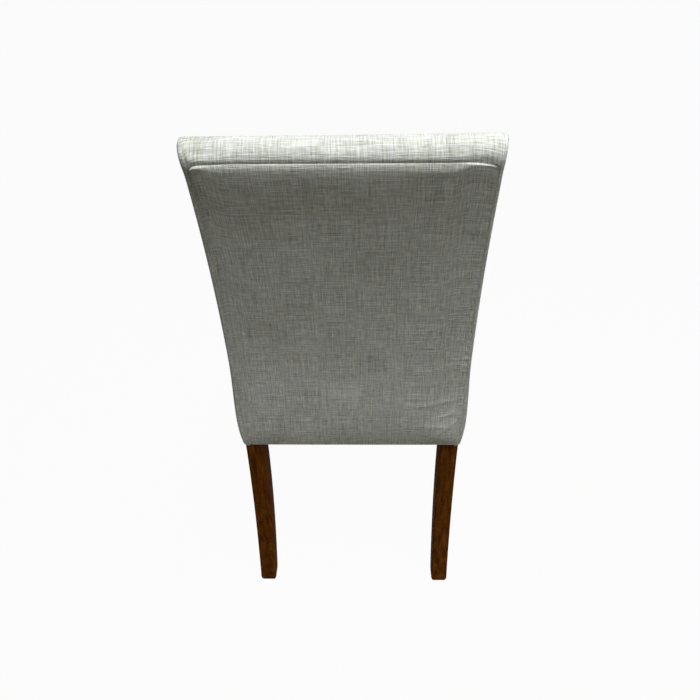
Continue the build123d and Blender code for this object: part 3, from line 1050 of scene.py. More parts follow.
@dataclass
class OutsideBack(BackFace):
    """Rear panel: thin padding under cloth, rounded over a card strip at its top, its hem turned under."""

    cell: float = 6 * MM
    shoulder_radius: float = 24 * MM
    end_shoulder_radius: float = 2 * MM
    shoulder_angle: float = 15.0
    fold_radius: float = 1.0 * MM
    ledge: float = 6.5 * MM
    ledge_angle: float = 68.0
    inner_radius: float = 1.5 * MM
    fold_angle: float = 150.0
    fold_tuck: float = 12 * MM
    hem_radius: float = 3 * MM
    hem_turn: float = 12 * MM
    shoulder_steps: int = 7
    fold_steps: int = 3
    inner_steps: int = 4
    hem_steps: int = 4
    hem_held: int = 4
    held_rows: int = 15
    hump_place: tuple[float, float] = (-0.195, 0.405)
    hump_reach: tuple[float, float] = (0.040, 0.042)
    hump_height: float = 7.0 * MM
    hump_fade: float = 18 * MM
    pull_height: float = 1.3 * MM
    pull_width: float = 5.5 * MM
    # X and height of each pull's start, then of its end at the seam.
    pulls: tuple[tuple[float, float, float, float], ...] = (
        (-0.110, 0.470, -0.224, 0.497),
        (-0.160, 0.438, -0.224, 0.470),
        (-0.120, 0.421, -0.216, 0.431),
        (-0.165, 0.400, -0.222, 0.446),
    )
    pucker_height: float = 0.5 * MM
    pucker_pitch: float = 17 * MM
    pucker_reach: float = 9 * MM
    pucker_wander: float = 3.0
    pucker_least: float = 0.3

    def relief(self, place: Vector) -> float:
        """Add a soft hump and pulls at the lower right, and puckers along the seams, to the plain unevenness.

        Args:
            place: Place on the even panel.

        Returns:
            Lift of the cloth.
        """
        lift = super().relief(place)
        beside = (self.sweep.seam_x - abs(place.x)) / self.pucker_reach
        wander = noise.noise(place / (self.pucker_wander * self.pucker_pitch))
        ripple = math.sin(math.tau * place.z / self.pucker_pitch + self.pucker_wander * wander)
        ripple *= max(0.0, self.pucker_least + wander)
        lift += self.pucker_height * ripple * math.exp(-(beside**2))
        aside = (place.x - self.hump_place[0]) / self.hump_reach[0]
        above = (place.z - self.hump_place[1]) / self.hump_reach[1]
        free = ease((self.sweep.seam_x - abs(place.x)) / self.hump_fade)
        free *= ease((place.z - self.sweep.hem_z) / self.hump_fade)
        lift += self.hump_height * free * math.exp(-(aside**2) - above**2)
        for x0, z0, x1, z1 in self.pulls:
            along = Vector((x1 - x0, z1 - z0))
            offset = Vector((place.x - x0, place.z - z0))
            share = offset.dot(along) / along.length_squared
            if not 0 < share < 1:
                continue
            beside = (offset - along * share).length / self.pull_width
            lift += self.pull_height * math.sin(math.pi * share) * math.exp(-beside**2)
        return lift

    def path(self, x: float) -> Outline:
        """Give the panel's side view at an X, from the turned hem up to the folded edge in the crease.

        Args:
            x: Place across the chair.

        Returns:
            Points as (y, z), as many at every X.
        """
        sweep = self.sweep
        hem_centre = (
            sweep.outside_y(self.hem_radius, sweep.hem_z + self.hem_radius, x),
            sweep.hem_z + self.hem_radius,
        )
        slant = math.radians(self.shoulder_angle)
        fullness = ease(part_way(sweep.seam_x - abs(x), *sweep.end(x).shoulder_fade))
        shoulder = self.end_shoulder_radius + (self.shoulder_radius - self.end_shoulder_radius) * fullness
        tilt = math.radians(self.ledge_angle)
        rise = self.inner_radius * (1 - math.sin(tilt)) + self.ledge * math.cos(tilt)
        rise += self.fold_radius * (math.sin(tilt) - math.sin(slant))
        shoulder_z = sweep.shelf_z - sweep.crease_drop(x) - rise - shoulder * math.sin(slant)
        lean = sweep.outside_lean(shoulder_z)
        start_z = shoulder_z - shoulder * math.sin(math.radians(lean))
        shoulder_y = sweep.outside_y(0, start_z, x) - shoulder * math.cos(math.radians(lean))
        count = round((sweep.shelf_z - sweep.hem_z) / self.cell)
        heights = [hem_centre[1] + (start_z - hem_centre[1]) * number / count for number in range(1, count)]
        line = [(hem_centre[0] - self.hem_turn, sweep.hem_z)]
        line += arc(hem_centre, self.hem_radius, -90, 0, self.hem_steps)
        line += [(sweep.outside_y(0, z, x), z) for z in heights]
        line += arc((shoulder_y, shoulder_z), shoulder, -lean, self.shoulder_angle, self.shoulder_steps)
        bend(line, self.fold_radius, self.shoulder_angle, self.ledge_angle, self.fold_steps)
        run_on(line, self.ledge, self.ledge_angle + 90)
        bend(line, self.inner_radius, self.ledge_angle, self.fold_angle, self.inner_steps)
        run_on(line, self.fold_tuck, self.fold_angle + 90)
        return line

    def build(self) -> bpy.types.Object:
        """Make the panel and tie it to the frame."""
        held = [*range(self.hem_held), *range(-self.held_rows, 0)]
        nodes = ("outside_back_cover", "outside_back_wadding")
        self.make("outside_back_panel", self.rows(self.path, 1), held, nodes, flip=True)


@dataclass
class InsideBack(BackFace):
    """Inside back and rounded top: one length of padded cloth from the seat over the top to the crease."""

    foot_z: float = 0.436
    tuck_radius: float = 9 * MM
    tuck_fade: tuple[float, float] = (30 * MM, 80 * MM)
    tuck_press: float = 0.64
    tuck_depth: float = 9 * MM
    tuck_turn: float = -100.0
    tuck_slope: float = 169.0
    roll_steps: int = 30
    tuck_steps: int = 7
    dent_fade: float = 9 * MM
    # X, height, reach across, reach upwards and depth of each dent. A fullness has a negative depth.
    dents: tuple[tuple[float, float, float, float, float], ...] = (
        (0.212, 1.0163, 0.028, 0.0030, 0.0006),
        (0.206, 1.0058, 0.030, 0.0065, -0.0032),
        (-0.206, 0.9990, 0.024, 0.0100, 0.0025),
    )
    padding: Padding = Padding(push=3.0, cap=0.9 * MM)
    fill: float = 0.8
    bolt_place: float = 2.9

    def relief(self, place: Vector) -> float:
        """Add the dent and the fullness above the crease at the ends to the plain unevenness.

        Args:
            place: Place on the even cloth.

        Returns:
            Lift of the cloth.
        """
        lift = super().relief(place)
        if place.y < self.sweep.roll_centre[0]:
            return lift
        plain_seam = math.copysign(self.sweep.seam_x, place.x)
        seam = abs(plain_seam) + abs(self.sweep.seam_flare(plain_seam, place.z))
        free = ease((seam - abs(place.x)) / self.dent_fade)
        for x, z, reach, height, depth in self.dents:
            beside = (place.x - x) / reach
            above = (place.z - z) / height
            lift -= depth * free * math.exp(-(beside**2) - above**2)
        return lift

    def tuck_at(self, x: float) -> float:
        """Give the radius at which the rounded top turns in to the crease, which changes at the ends."""
        from_seam = self.sweep.seam_x - abs(x)
        near_end = 1 - ease(part_way(from_seam, *self.tuck_fade))
        return self.tuck_radius + self.sweep.end(x).tuck_extra * near_end

    def path(self, x: float) -> Outline:
        """Give the side view at an X, from the seat up the inside back and over the top to the crease.

        Args:
            x: Place across the chair.

        Returns:
            Points as (y, z), as many at every X.
        """
        sweep = self.sweep
        radius = self.tuck_at(x)
        reach = sweep.roll_radius - radius
        meet_z = sweep.shelf_z - sweep.crease_drop(x) + (1 - self.tuck_press) * radius
        end = math.degrees(math.asin((meet_z - sweep.roll_z) / reach))
        first = sweep.roll_front_angle
        start_z = sweep.roll_point(first, 0)[1]
        line = [(sweep.inside_y(0, z), z) for z in spaced(self.foot_z, start_z, self.cell)[:-1]]
        for step in range(self.roll_steps + 1):
            line.append(sweep.roll_point(first + (end - first) * step / self.roll_steps, 0))
        bend(line, radius, end, self.tuck_turn, self.tuck_steps)
        run_on(line, self.tuck_depth, self.tuck_slope)
        return line

    def build(self) -> bpy.types.Object:
        """Make the inside back with the rounded top and tie it to the frame."""
        held = [0, 1, *range(-self.tuck_steps - self.roll_steps // 2, 0)]
        nodes = ("inside_back_cover", "back_foam", "crest_roll_foam")
        self.make("inside_back_and_roll", self.rows(self.path, -1), held, nodes, flip=False)


@dataclass
class SideBorder:
    """Padded border that closes one side of the back, from the hem round the end of the rounded top."""

    sweep: BackSweep
    material: bpy.types.Material
    side: Side
    pole_angle: float = 88.0
    rear_angle: float = -14.0
    cell: float = 8 * MM
    inner_columns: int = 8
    roll_steps: int = 16
    cloth_thickness: float = 2 * MM
    hem_turn: float = 9 * MM
    # For each column from the seam: depth under the back's surface in millimetres, and share of the way out.
    edge: tuple[tuple[float, float], ...] = (
        (0.6, 0.0), (0.4, 0.03), (0.1, 0.14), (0.0, 0.30), (0.5, 0.58), (1.9, 0.84), (4.6, 0.96), (9.0, 1.0),
    )
    end_edge: tuple[tuple[float, float], ...] = (
        (0.6, 0.0), (0.5, 0.03), (0.5, 0.10), (0.9, 0.30), (1.6, 0.52), (2.8, 0.76), (5.5, 0.93), (12.0, 1.0),
    )
    dome_z: float = 0.955
    dome_reach: float = 0.040
    hem_held: int = 3
    weld_reach: float = 0.1 * MM
    padding: Padding = Padding(push=2.0, cap=2 * MM)
    fill: float = 0.7
    bolt_place: float = 5.3

    def edge_at(self, column: int, height: float) -> tuple[float, float]:
        """Give the shape of the border's edge, which turns into a low cone on the end of the rounded top.

        Args:
            column: Number of the column, counted from the seam.
            height: Height above the floor.

        Returns:
            Depth under the back's surface, and how much of the way from the seam out to the face.
        """
        share = ease((height - self.dome_z) / self.dome_reach)
        low, end = self.edge[column], self.end_edge[column]
        return (low[0] + (end[0] - low[0]) * share) * MM, low[1] + (end[1] - low[1]) * share

    def angles(self, first: float) -> list[float]:
        """Give the angles of the stations round the end of the rounded top, from an angle to the pole."""
        turn = self.pole_angle - first
        return [first + turn * step / self.roll_steps for step in range(self.roll_steps + 1)]

    def heights(self, last: float) -> list[float]:
        """Give the heights of the stations below the roll, as many for both outlines."""
        count = round((self.sweep.roll_z - self.sweep.hem_z) / self.cell)
        return [self.sweep.hem_z + (last - self.sweep.hem_z) * number / count for number in range(count)]

    def levels(self, first: float) -> list[float]:
        """Give the height of the back's surface at each station, for a roll part that starts at an angle."""
        roll = [self.sweep.roll_point(angle, 0)[1] for angle in self.angles(first)]
        return self.heights(roll[0]) + roll

    def roll_outline(self, first: float, column: int) -> Outline:
        """Give a column's outline round the end of the rounded top, from an angle to the pole."""
        depth = self.edge_at(column, self.sweep.roll_z)[0]
        return [self.sweep.roll_point(angle, depth) for angle in self.angles(first)]

    def front_outline(self, column: int) -> Outline:
        """Give a column's front outline, from the hem to the pole on the roll's end."""
        roll = self.roll_outline(self.sweep.roll_front_angle, column)
        heights = self.heights(roll[0][1])
        return [(self.sweep.inside_y(self.edge_at(column, z)[0], z), z) for z in heights] + roll

    def rear_outline(self, column: int) -> Outline:
        """Give a column's rear outline, from the hem to the pole on the roll's end.

        Args:
            column: Number of the column, counted from the seam.

        Returns:
            Points as (y, z).
        """
        roll = self.roll_outline(self.rear_angle, column)
        heights = self.heights(roll[0][1])
        seam = self.side.value * self.sweep.seam_x
        return [(self.sweep.outside_y(self.edge_at(column, z)[0], z, seam), z) for z in heights] + roll

    def place(self, point: tuple[float, float], level: float, column: int) -> Vector:
        """Put a side-view point at its X.

        Args:
            point: Y and Z.
            level: Height of the back's surface at the point's station.
            column: Number of the edge column that it belongs to.

        Returns:
            The place in the chair's frame.
        """
        seam = self.side.value * self.sweep.seam_x
        seam += self.sweep.seam_flare(seam, level)
        face = self.side.value * self.sweep.side_x(level)
        face += self.sweep.side_flare(face, level)
        return Vector((seam + (face - seam) * self.edge_at(column, level)[1], *point))

    def rows(self) -> Rows:
        """Lay out the border.

        Returns:
            Rows of points, from the front seam to the rear seam, from the hem upwards.
        """
        sweep = self.sweep
        columns = range(len(self.edge))
        fronts = [self.front_outline(column) for column in columns]
        rears = [self.rear_outline(column) for column in columns]
        levels = zip(self.levels(sweep.roll_front_angle), self.levels(self.rear_angle))
        result: Rows = []
        for station, (front_level, rear_level) in enumerate(levels):
            row = [self.place(fronts[column][station], front_level, column) for column in columns]
            front, rear = Vector(fronts[-1][station]), Vector(rears[-1][station])
            for number in range(1, self.inner_columns):
                share = number / self.inner_columns
                level = front_level + (rear_level - front_level) * share
                row.append(self.place(tuple(front.lerp(rear, share)), level, columns[-1]))
            row += [self.place(rears[column][station], rear_level, column) for column in reversed(columns)]
            result.append(row)
        turned = [Vector((self.side.value * (sweep.seam_x - self.hem_turn), p.y, p.z)) for p in result[0]]
        return [turned] + result

    def held(self, rows: Rows) -> set[int]:
        """Give the vertices that the seams, the hem and the end of the rounded top hold.

        Args:
            rows: Rows of the border.

        Returns:
            Vertex numbers.
        """
        width = len(rows[0])
        rim = len(self.edge) - 2
        top = len(rows) - self.roll_steps
        held = set()
        for row in range(len(rows)):
            for place in range(width):
                sewn = place < rim or place >= width - rim
                if sewn or row < self.hem_held or row > top:
                    held.add(row * width + place)
        return held

    def build(self) -> None:
        """Make the border and tie it to the frame."""
        rows = self.rows()
        side = self.side.name.lower()
        bolt_place = self.bolt_place + self.side.value
        piece = sheet_of_rows(f"side_border_{side}", rows, bolt_place, self.side is Side.RIGHT)
        self.padding.swell(piece, self.held(rows))
        edit_mesh(piece, weld(self.weld_reach))
        finish_soft(piece, self.cloth_thickness)
        tie(piece, self.material, (f"side_panel_{side}",))


class Fold(Enum):
    """Part of the seat's cloth below its top."""

    EDGE = "rounded edge"
    WALL = "upright wall"
    TURN = "hem turned under"


OUTWARD = {"F": Vector((0, -1)), "B": Vector((0, 1)), "L": Vector((-1, 0)), "R": Vector((1, 0))}


@dataclass(frozen=True)
class RimPoint:
    """Point on the rim of the seat's top: its vertex, its plan place, and letters for the sides it is on."""

    vertex: int
    place: Vector
    sides: str

    @property
    def corner(self) -> bool:
        """Whether two sides meet here."""
        return len(self.sides) == 2


@dataclass
class Seat:
    """Crowned seat: cloth over wadding and foam, sewn at its front corners and turned under at its hem."""

    sweep: BackSweep
    material: bpy.types.Material
    front_y: float
    crown_z: float
    cell: float = 9 * MM
    edge_radius: float = 16 * MM
    edge_steps: int = 5
    wall_steps: int = 9
    turn_shares: tuple[float, ...] = (0.25, 1.0)
    edge_drop: float = 18 * MM
    front_drop: float = 6 * MM
    rear_drop: float = 4 * MM
    crown_setback: float = 190 * MM
    front_hem: float = 6.5 * MM
    hem_turn: float = 14 * MM
    held_hem: float = 0.85
    rear_gap: float = -0.3 * MM
    cloth_thickness: float = 2.5 * MM
    swell_room: float = 3 * MM
    padding: Padding = Padding(push=6.0, cap=6 * MM)
    fill: float = 0.8
    points: list[Vector] = field(default_factory=list, init=False)
    faces: list[Face] = field(default_factory=list, init=False)
    cloth: list[list[Vector]] = field(default_factory=list, init=False)
    held: set[int] = field(default_factory=set, init=False)
    rear_corners: set[int] = field(default_factory=set, init=False)

    def top_z(self, x: float, y: float) -> float:
        """Give the height of the crowned top.

        Args:
            x: Place across the seat.
            y: Place along the seat.

        Returns:
            Height above the floor.
        """
        crown_y = self.front_y + self.crown_setback
        rear_y = self.sweep.inside_y(0, self.sweep.knee_z)
        if y < crown_y:
            along = self.front_drop * ((crown_y - y) / self.crown_setback) ** 2
        else:
            along = self.rear_drop * ((y - crown_y) / (rear_y - crown_y)) ** 2
        across = self.edge_drop * (x / self.sweep.half_width) ** 2
        return self.crown_z - self.swell_room - along - across

    def wall_x(self, z: float, edge_top: float) -> float:
        """Give the half width of the wall, drawn in above the hip up to the rounded edge.

        Args:
            z: Height above the floor.
            edge_top: Height at which the wall meets the rounded edge.

        Returns:
            Distance from the middle plane.
        """
        sweep = self.sweep
        if z < sweep.hip_z:
            return sweep.side_x(z)
        share = (z - sweep.hip_z) / (edge_top - sweep.hip_z + TINY)
        return sweep.half_width + sweep.hip_swell * (1 - ease(share))

    def wall_place(self, point: RimPoint, z: float, edge_top: float) -> Vector:
        """Give the plan place of a wall point.

        Args:
            point: Point on the rim above it.
            z: Height of the wall point.
            edge_top: Height at which the wall meets the rounded edge.

        Returns:
            X and Y.
        """
        x, y = point.place
        sweep = self.sweep
        if "L" in point.sides or "R" in point.sides:
            x = math.copysign(self.wall_x(z, edge_top), x)
        if "F" in point.sides:
            share = max(0.0, (sweep.hip_z - z) / (sweep.hip_z - sweep.hem_z))
            y = self.front_y + self.front_hem * share**2
        if "B" in point.sides:
            y = sweep.inside_y(0, z) - self.rear_gap
        return Vector((x, y))

    def ring_place(self, point: RimPoint, fold: Fold, share: float) -> Vector:
        """Give the place of a point below the rim.

        Args:
            point: Point on the rim above it.
            fold: Part of the cloth that it lies on.
            share: How far down that part it lies, from 0 to 1.

        Returns:
            The place in the chair's frame.
        """
        rim_z = self.top_z(*point.place)
        edge_top = rim_z - self.edge_radius
        if fold is Fold.EDGE:
            turn = math.pi / 2 * share
            z = rim_z - self.edge_radius * (1 - math.cos(turn))
            place = point.place.lerp(self.wall_place(point, edge_top, edge_top), math.sin(turn))
            return Vector((*place, z))
        z = edge_top + (self.sweep.hem_z - edge_top) * share
        if fold is Fold.TURN:
            z = self.sweep.hem_z
        place = self.wall_place(point, z, edge_top)
        if fold is Fold.TURN:
            outward = sum((OUTWARD[side] for side in point.sides), Vector((0, 0)))
            place -= outward * self.hem_turn * share
        return Vector((*place, z))

    def levels(self) -> list[tuple[Fold, float]]:
        """Give the rings below the rim, as parts of the cloth and shares of the way down them."""
        rings = [(Fold.EDGE, step / self.edge_steps) for step in range(1, self.edge_steps + 1)]
        rings += [(Fold.WALL, step / self.wall_steps) for step in range(1, self.wall_steps + 1)]
        return rings + [(Fold.TURN, share) for share in self.turn_shares]

    def lay_top(self) -> list[RimPoint]:
        """Lay the crowned top.

        Returns:
            The points of its rim, in order round it.
        """
        inner_x = self.sweep.half_width - self.edge_radius
        rear_y = self.sweep.inside_y(0, self.sweep.knee_z) - self.rear_gap
        xs = spaced(-inner_x, inner_x, self.cell)
        ys = spaced(self.front_y + self.edge_radius, rear_y - self.edge_radius, self.cell)
        plan = [Vector((x, y)) for y in ys for x in xs]
        self.points += [Vector((x, y, self.top_z(x, y))) for y in ys for x in xs]
        self.faces += grid_faces(len(ys), len(xs))
        self.cloth += [[plan[number] for number in face] for face in self.faces]

        last_x, last_y = len(xs) - 1, len(ys) - 1
        cells = [(column, 0) for column in range(last_x)]
        cells += [(last_x, row) for row in range(last_y)]
        cells += [(column, last_y) for column in range(last_x, 0, -1)]
        cells += [(0, row) for row in range(last_y, 0, -1)]
        rim = []
        for column, row in cells:
            sides = {0: "F", last_y: "B"}.get(row, "") + {0: "L", last_x: "R"}.get(column, "")
            vertex = row * len(xs) + column
            rim.append(RimPoint(vertex, plan[vertex], sides))
        return rim

    def lay_ring(self, rim: list[RimPoint], fold: Fold, share: float) -> list[int]:
        """Lay one ring of points below the rim, and note which of them are held or on a rear corner.

        Args:
            rim: Points of the rim.
            fold: Part of the cloth that the ring lies on.
            share: How far down that part it lies.

        Returns:
            Vertex numbers of the ring.
        """
        first = len(self.points)
        for number, point in enumerate(rim, first):
            self.points.append(self.ring_place(point, fold, share))
            sewn = share > self.held_hem or point.corner or "B" in point.sides
            if fold is Fold.TURN or (fold is Fold.WALL and sewn):
                self.held.add(number)
            if fold is not Fold.EDGE and point.corner and "B" in point.sides:
                self.rear_corners.add(number)
        return list(range(first, len(self.points)))

    def lay_skirt(self, rim: list[RimPoint]) -> None:
        """Lay the rings from the rim down to the turned hem and join them, with the cloth straight down.

        Args:
            rim: Points of the rim.
        """
        upper = [point.vertex for point in rim]
        start = [0.0] * len(rim)
        for fold, share in self.levels():
            lower = self.lay_ring(rim, fold, share)
            steps = zip(start, upper, lower)
            end = [run + (self.points[low] - self.points[high]).length for run, high, low in steps]
            for number, point in enumerate(rim):
                after = (number + 1) % len(rim)
                beside = rim[after]
                self.faces.append((upper[number], lower[number], lower[after], upper[after]))
                way = OUTWARD[(set(point.sides) & set(beside.sides)).pop()]
                near = [point.place + way * run for run in (start[number], end[number])]
                far = [beside.place + way * run for run in (end[after], start[after])]
                self.cloth.append(near + far)
            upper, start = lower, end

    def build(self) -> None:
        """Make the seat and tie it to the frame."""
        self.lay_skirt(self.lay_top())
        piece = new_piece("seat_cushion", self.points, self.faces)
        layer = piece.data.uv_layers.new(name=CLOTH_UV)
        for polygon, corners in zip(piece.data.polygons, self.cloth):
            for loop, place in zip(polygon.loop_indices, corners):
                layer.data[loop].uv = place
        crisp = piece.data.attributes.new("crease_edge", "FLOAT", "EDGE")
        for edge in piece.data.edges:
            crisp.data[edge.index].value = float(self.rear_corners.issuperset(edge.vertices))
        self.padding.swell(piece, self.held)
        finish_soft(piece, self.cloth_thickness)
        tie(piece, self.material, ("seat_cover", "seat_wadding", "seat_foam"))


@dataclass
class Underside:
    """Black cloth under the seat, cut round legs and posts and stapled along the rails."""

    material: bpy.types.Material
    cell: float = 12 * MM
    sag: float = 5 * MM
    thickness: float = 0.8 * MM
    notch_gap: float = 1 * MM
    rails: tuple[str, ...] = (
        "front_seat_rail", "rear_seat_rail", "side_seat_rail_left", "side_seat_rail_right",
    )

    def build(self) -> None:
        """Make the cloth and tie it to the frame."""
        low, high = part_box("dust_cover")
        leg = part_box("front_leg_left")
        notch_x = min(leg[0].x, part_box("rear_seat_rail")[1].x) - self.notch_gap
        front_notch = leg[1].y + self.notch_gap
        rear_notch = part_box("side_seat_rail_left")[1].y - self.notch_gap
        xs = spaced(low.x, high.x, self.cell)
        ys = spaced(low.y, high.y, self.cell)
        points = []
        for y in ys:
            for x in xs:
                across = math.cos(math.pi * x / (high.x - low.x))
                along = math.sin(math.pi * (y - low.y) / (high.y - low.y))
                points.append(Vector((x, y, low.z - self.sag * max(across, 0) * max(along, 0))))
        faces = []
        for face in grid_faces(len(ys), len(xs)):
            row, column = divmod(face[0], len(xs))
            x = max(abs(xs[column]), abs(xs[column + 1]))
            if x <= notch_x or (ys[row] >= front_notch and ys[row + 1] <= rear_notch):
                faces.append(face[::-1])
        piece = new_piece("dust_cover_cloth", points, faces)
        edit_mesh(piece, bpy.ops.mesh.delete_loose)
        apply_modifier(piece, "SOLIDIFY", thickness=self.thickness, offset=-1.0)
        tie(piece, self.material, ("dust_cover",))


@dataclass
class Webbing:
    """Elastic straps under the seat and behind the inside back."""

    material: bpy.types.Material
    nodes: tuple[str, ...] = ("seat_webbing_lengthwise", "seat_webbing_crosswise", "back_webbing")
    edge: float = 0.4 * MM
    edge_segments: int = 2

    def build(self) -> None:
        """Make the straps of each node with rounded edges and tie them to the frame."""
        for node in self.nodes:
            piece = copy_node(node, f"{node}_straps")
            edit_mesh(piece, weld(PACKED_WELD), bpy.ops.mesh.tris_convert_to_quads)
            apply_modifier(piece, "BEVEL", width=self.edge, segments=self.edge_segments, limit_method="ANGLE")
            tie(piece, self.material, (node,))


@dataclass
class Leg:
    """Stained leg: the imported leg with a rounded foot, which a rear leg sweeps a little further back."""

    material: bpy.types.Material
    node: str
    rounding: float = 8 * MM
    rounding_steps: int = 6
    cut_share: float = 1.3
    ring_share: float = 1.5
    packed_chamfer: float = 3 * MM
    foot_drop: float = 3 * MM
    sweep_out: float = 0.0
    sweep_top: float = 0.360
    sweep_steps: int = 8
    hole_reach: float = 5 * MM
    sharp_angle: float = 35.0

    def cuts(self, foot: float) -> list[float]:
        """Give the heights at which new loops are cut.

        Args:
            foot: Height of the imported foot.

        Returns:
            Heights above the floor.
        """
        step_height = self.cut_share * self.rounding / self.rounding_steps
        heights = [foot + step_height * step for step in range(1, self.rounding_steps + 1)]
        if self.sweep_out:
            heights += spaced(heights[-1], self.sweep_top, (self.sweep_top - foot) / self.sweep_steps)[1:]
        return heights

    def build(self) -> None:
        """Make the leg and tie it to the frame."""
        piece = copy_node(self.node, f"{self.node}_rounded")
        foot = min(vertex.co.z for vertex in piece.data.vertices)
        cut = partial(bpy.ops.mesh.bisect, plane_no=(0, 0, 1))
        cuts = [partial(cut, plane_co=(0, 0, height)) for height in self.cuts(foot)]
        edit_mesh(piece, weld(PACKED_WELD), *cuts)
        self.round_foot(piece.data, foot)
        only_active(piece)
        bpy.ops.object.shade_smooth_by_angle(angle=math.radians(self.sharp_angle))
        tie(piece, self.material, (self.node,))

    def round_foot(self, mesh: bpy.types.Mesh, foot: float) -> None:
        """Draw the foot in over its lowest part, let it down onto its glide and sweep it back.

        Args:
            mesh: Mesh of the leg, with its new loops.
            foot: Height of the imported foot.
        """
        ring_low, ring_high = foot + self.rounding, foot + self.ring_share * self.rounding
        ring = [vertex.co for vertex in mesh.vertices if ring_low < vertex.co.z < ring_high]
        low = Vector((min(place.x for place in ring), min(place.y for place in ring)))
        high = Vector((max(place.x for place in ring), max(place.y for place in ring)))
        middle, half = (low + high) / 2, (high - low) / 2
        for vertex in mesh.vertices:
            place = vertex.co
            offset = Vector((place.x - middle.x, place.y - middle.y))
            if place.z > self.sweep_top or offset.length < self.hole_reach:
                continue
            down = part_way(place.z, foot + self.rounding, foot)
            packed_cut = max(0.0, self.packed_chamfer - (place.z - foot))
            inset = max(0.0, self.rounding * (1 - math.sqrt(1 - down**2)) - packed_cut)
            swept = part_way(place.z, self.sweep_top, foot)
            place.x -= offset.x * inset / half.x
            place.y += self.sweep_out * swept**2 - offset.y * inset / half.y
            place.z -= self.foot_drop * down


@dataclass
class Framework:
    """Rigid pieces that stay as packed: rails, blocks, dowels, screws, card strip and glides."""

    finishes: dict[str, bpy.types.Material]

    def dress(self) -> None:
        """Give every rigid node its finish."""
        for node, material in self.finishes.items():
            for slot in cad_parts[node].material_slots:
                slot.material = material
            LOG.info("%s: %s", node, material.name)


@dataclass
class Studio:
    """Plain white studio: pale floor, one large soft light above, weak light all round, and the camera."""

    camera_place: tuple[float, float, float] = (-0.0369, 1.2047, 1.3176)
    camera_pitch: float = 35.49
    camera_turn: float = 182.037
    camera_roll: float = -1.327
    camera_reach: float = 100.0
    focal_pixels: float = 648.8
    sensor: float = 36.0
    floor_size: float = 40.0
    floor_shade: str = "#aeaba1"
    floor_white: float = 0.96
    sky_strength: float = 0.05
    key_place: tuple[float, float, float] = (-0.45, 0.66, 2.7)
    key_aim: tuple[float, float, float] = (0.0, 0.2, 0.7)
    key_size: float = 1.3
    key_power: float = 60.5
    key_tint: tuple[float, float, float] = (0.965, 1.0, 1.055)

    def camera(self) -> None:
        """Set the camera where the photograph was taken."""
        data = bpy.data.cameras.new("camera")
        data.sensor_width = self.sensor
        data.lens = self.sensor * self.focal_pixels / IMAGE_SIZE
        data.clip_end = self.camera_reach
        camera = add_object("camera", data)
        turn = Matrix.Rotation(math.radians(self.camera_turn), 4, "Z")
        pitch = Matrix.Rotation(math.radians(90 - self.camera_pitch), 4, "X")
        roll = Matrix.Rotation(math.radians(self.camera_roll), 4, "Z")
        camera.matrix_world = Matrix.Translation(self.camera_place) @ turn @ pitch @ roll
        bpy.context.scene.camera = camera

    def seen_directly(self, shader: Shader) -> Socket:
        """Add nodes that tell a camera, mirror or glass ray from light that falls on a surface.

        Args:
            shader: Node tree to add to.

        Returns:
            1 where the surface is looked at, 0 where it only gives light.
        """
        rays = shader.add("LightPath").outputs
        first = shader.math("MAXIMUM", rays["Is Camera Ray"], rays["Is Glossy Ray"])
        return shader.math("MAXIMUM", first, rays["Is Transmission Ray"])

    def floor(self) -> None:
        """Lay a pale floor that looks white and keeps a soft shadow."""
        bpy.ops.object.select_all(action="DESELECT")
        bpy.ops.mesh.primitive_plane_add(size=self.floor_size, location=(0, 0, 0))
        floor = bpy.context.object
        floor.name = "studio_floor"
        material, shader = new_material("paper_backdrop_matt")
        paper = shader.add("BsdfDiffuse", {"Color": linear(self.floor_shade)}).outputs[0]
        white = shader.add("Emission", {"Color": WHITE, "Strength": 1.0}).outputs[0]
        share = shader.math("MULTIPLY", self.seen_directly(shader), self.floor_white)
        mixed = shader.add("MixShader", {0: share, 1: paper, 2: white}).outputs[0]
        shader.add("OutputMaterial", {"Surface": mixed})
        floor.data.materials.append(material)
        floor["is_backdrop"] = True

    def sky(self) -> None:
        """Give weak even light from all round, and white where the sky itself is seen."""
        world = bpy.data.worlds.new("studio")
        world.use_nodes = True
        world.node_tree.nodes.clear()
        shader = Shader(world.node_tree)
        soft = shader.add("Background", {"Color": WHITE, "Strength": self.sky_strength}).outputs[0]
        white = shader.add("Background", {"Color": WHITE, "Strength": 1.0}).outputs[0]
        mixed = shader.add("MixShader", {0: self.seen_directly(shader), 1: soft, 2: white}).outputs[0]
        shader.add("OutputWorld", {"Surface": mixed})
        bpy.context.scene.world = world

    def key(self) -> None:
        """Hang the large soft light above the chair."""
        data = bpy.data.lights.new("overhead_softbox", "AREA")
        data.shape = "SQUARE"
        data.size = self.key_size
        data.energy = self.key_power
        data.color = self.key_tint
        light = add_object("overhead_softbox", data)
        aim = Vector(self.key_aim) - Vector(self.key_place)
        turn = aim.to_track_quat("-Z", "Y").to_matrix().to_4x4()
        light.matrix_world = Matrix.Translation(self.key_place) @ turn

    def build(self) -> None:
        """Set up floor, light and camera."""
        bpy.context.scene.view_settings.view_transform = "Standard"
        self.floor()
        self.sky()
        self.key()
        self.camera()


# Dark red-brown under a matt stain that hides most of the gloss, so that the legs stay quiet.
STAINED_LEG = GrainedWood(
    "rubberwood_walnut_stained_matt", "#3f2108", "#60340c", "#784415", roughness=0.7, shine=0.01
)
# Bare pale softwood with plain bands, for the frame inside.
PLANED_ACROSS = GrainedWood("pine_planed_across", "#a8794a", "#c79b66", "#dcb988", Grain.ACROSS)
PLANED_ALONG = GrainedWood("pine_planed_along", "#a8794a", "#c79b66", "#dcb988", Grain.ALONG)
# Paler and finer in its pores than the pine round it.
TURNED_DOWEL = GrainedWood("beech_turned", "#b98f62", "#d2ab7d", "#e2c49c", Grain.ACROSS, pore_width=0.5 * MM)
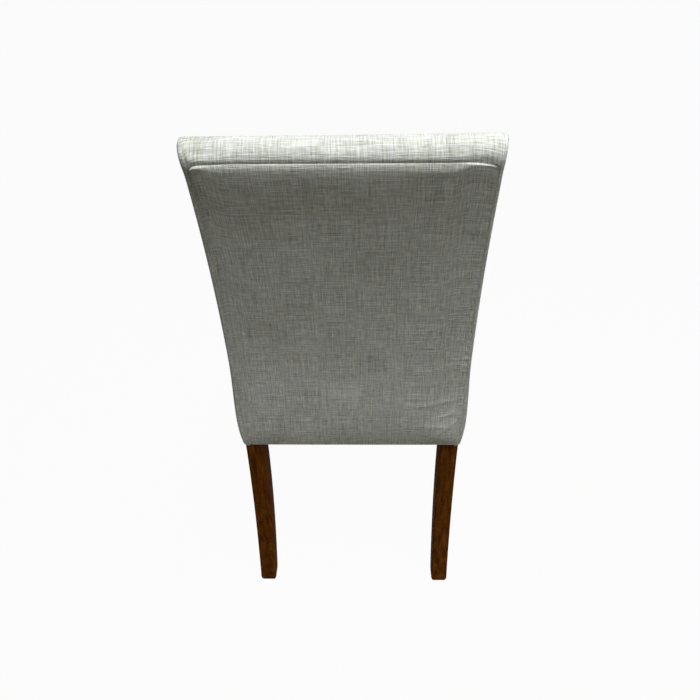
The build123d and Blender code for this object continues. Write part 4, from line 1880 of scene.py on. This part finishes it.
# Dull brown with flecks of pulp.
PRESSED_CARD = SpeckledSurface("card_pressed", "#8a6b49", "#a9885f", 2 * MM, 0.2 * MM, 0.9)
# Yellowish metal with the soft cloudiness of a plating bath.
ZINC_STEEL = SpeckledSurface("steel_zinc_plated", "#b8ac86", "#d2c9a4", 3 * MM, 0.02 * MM, 0.35, 1.0)
# Nearly black, with the faint grain of a mould.
MOULDED_NYLON = SpeckledSurface("nylon_moulded_dark", "#14110f", "#221d19", 0.8 * MM, 0.05 * MM, 0.5)
REAR_FOOT_SWEEP = 3.5 * MM
FRONT_FOOT_ROUNDING = 5 * MM


def main() -> None:
    """Build the chair's soft pieces, dress the rigid ones and set up the studio."""
    logging.basicConfig(level=logging.INFO, format="%(message)s")
    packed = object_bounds()
    low, high = packed
    sweep = BackSweep(rear_limit=high.y, top=high.z)
    linen = SlubLinen().build()
    OutsideBack(sweep, linen).build()
    InsideBack(sweep, linen).build()
    for side in Side:
        SideBorder(sweep, linen, side).build()
    Seat(sweep, linen, front_y=low.y, crown_z=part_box("seat_cover")[1].z).build()
    Underside(SpunbondCloth().build()).build()
    Webbing(WovenStrap().build()).build()

    leg_wood = STAINED_LEG.build()
    across = PLANED_ACROSS.build()
    along = PLANED_ALONG.build()
    dowel = TURNED_DOWEL.build()
    for side in Side:
        Leg(leg_wood, f"rear_post_{side.name.lower()}", sweep_out=REAR_FOOT_SWEEP).build()
        Leg(leg_wood, f"front_leg_{side.name.lower()}", rounding=FRONT_FOOT_ROUNDING).build()
    cross_rails = ("front_seat_rail", "rear_seat_rail", "crest_rail", "lumbar_rail", "corner_blocks")
    side_rails = ("side_seat_rail_left", "side_seat_rail_right")
    finishes = {node: across for node in cross_rails}
    finishes |= {node: along for node in side_rails}
    finishes |= {node: dowel for node in ("seat_rail_dowels", "back_rail_dowels")}
    finishes["tack_strip"] = PRESSED_CARD.build()
    finishes["corner_block_screws"] = ZINC_STEEL.build()
    finishes["foot_glides"] = MOULDED_NYLON.build()
    Framework(finishes).dress()

    Studio().build()


if __name__ == "__main__":
    main()
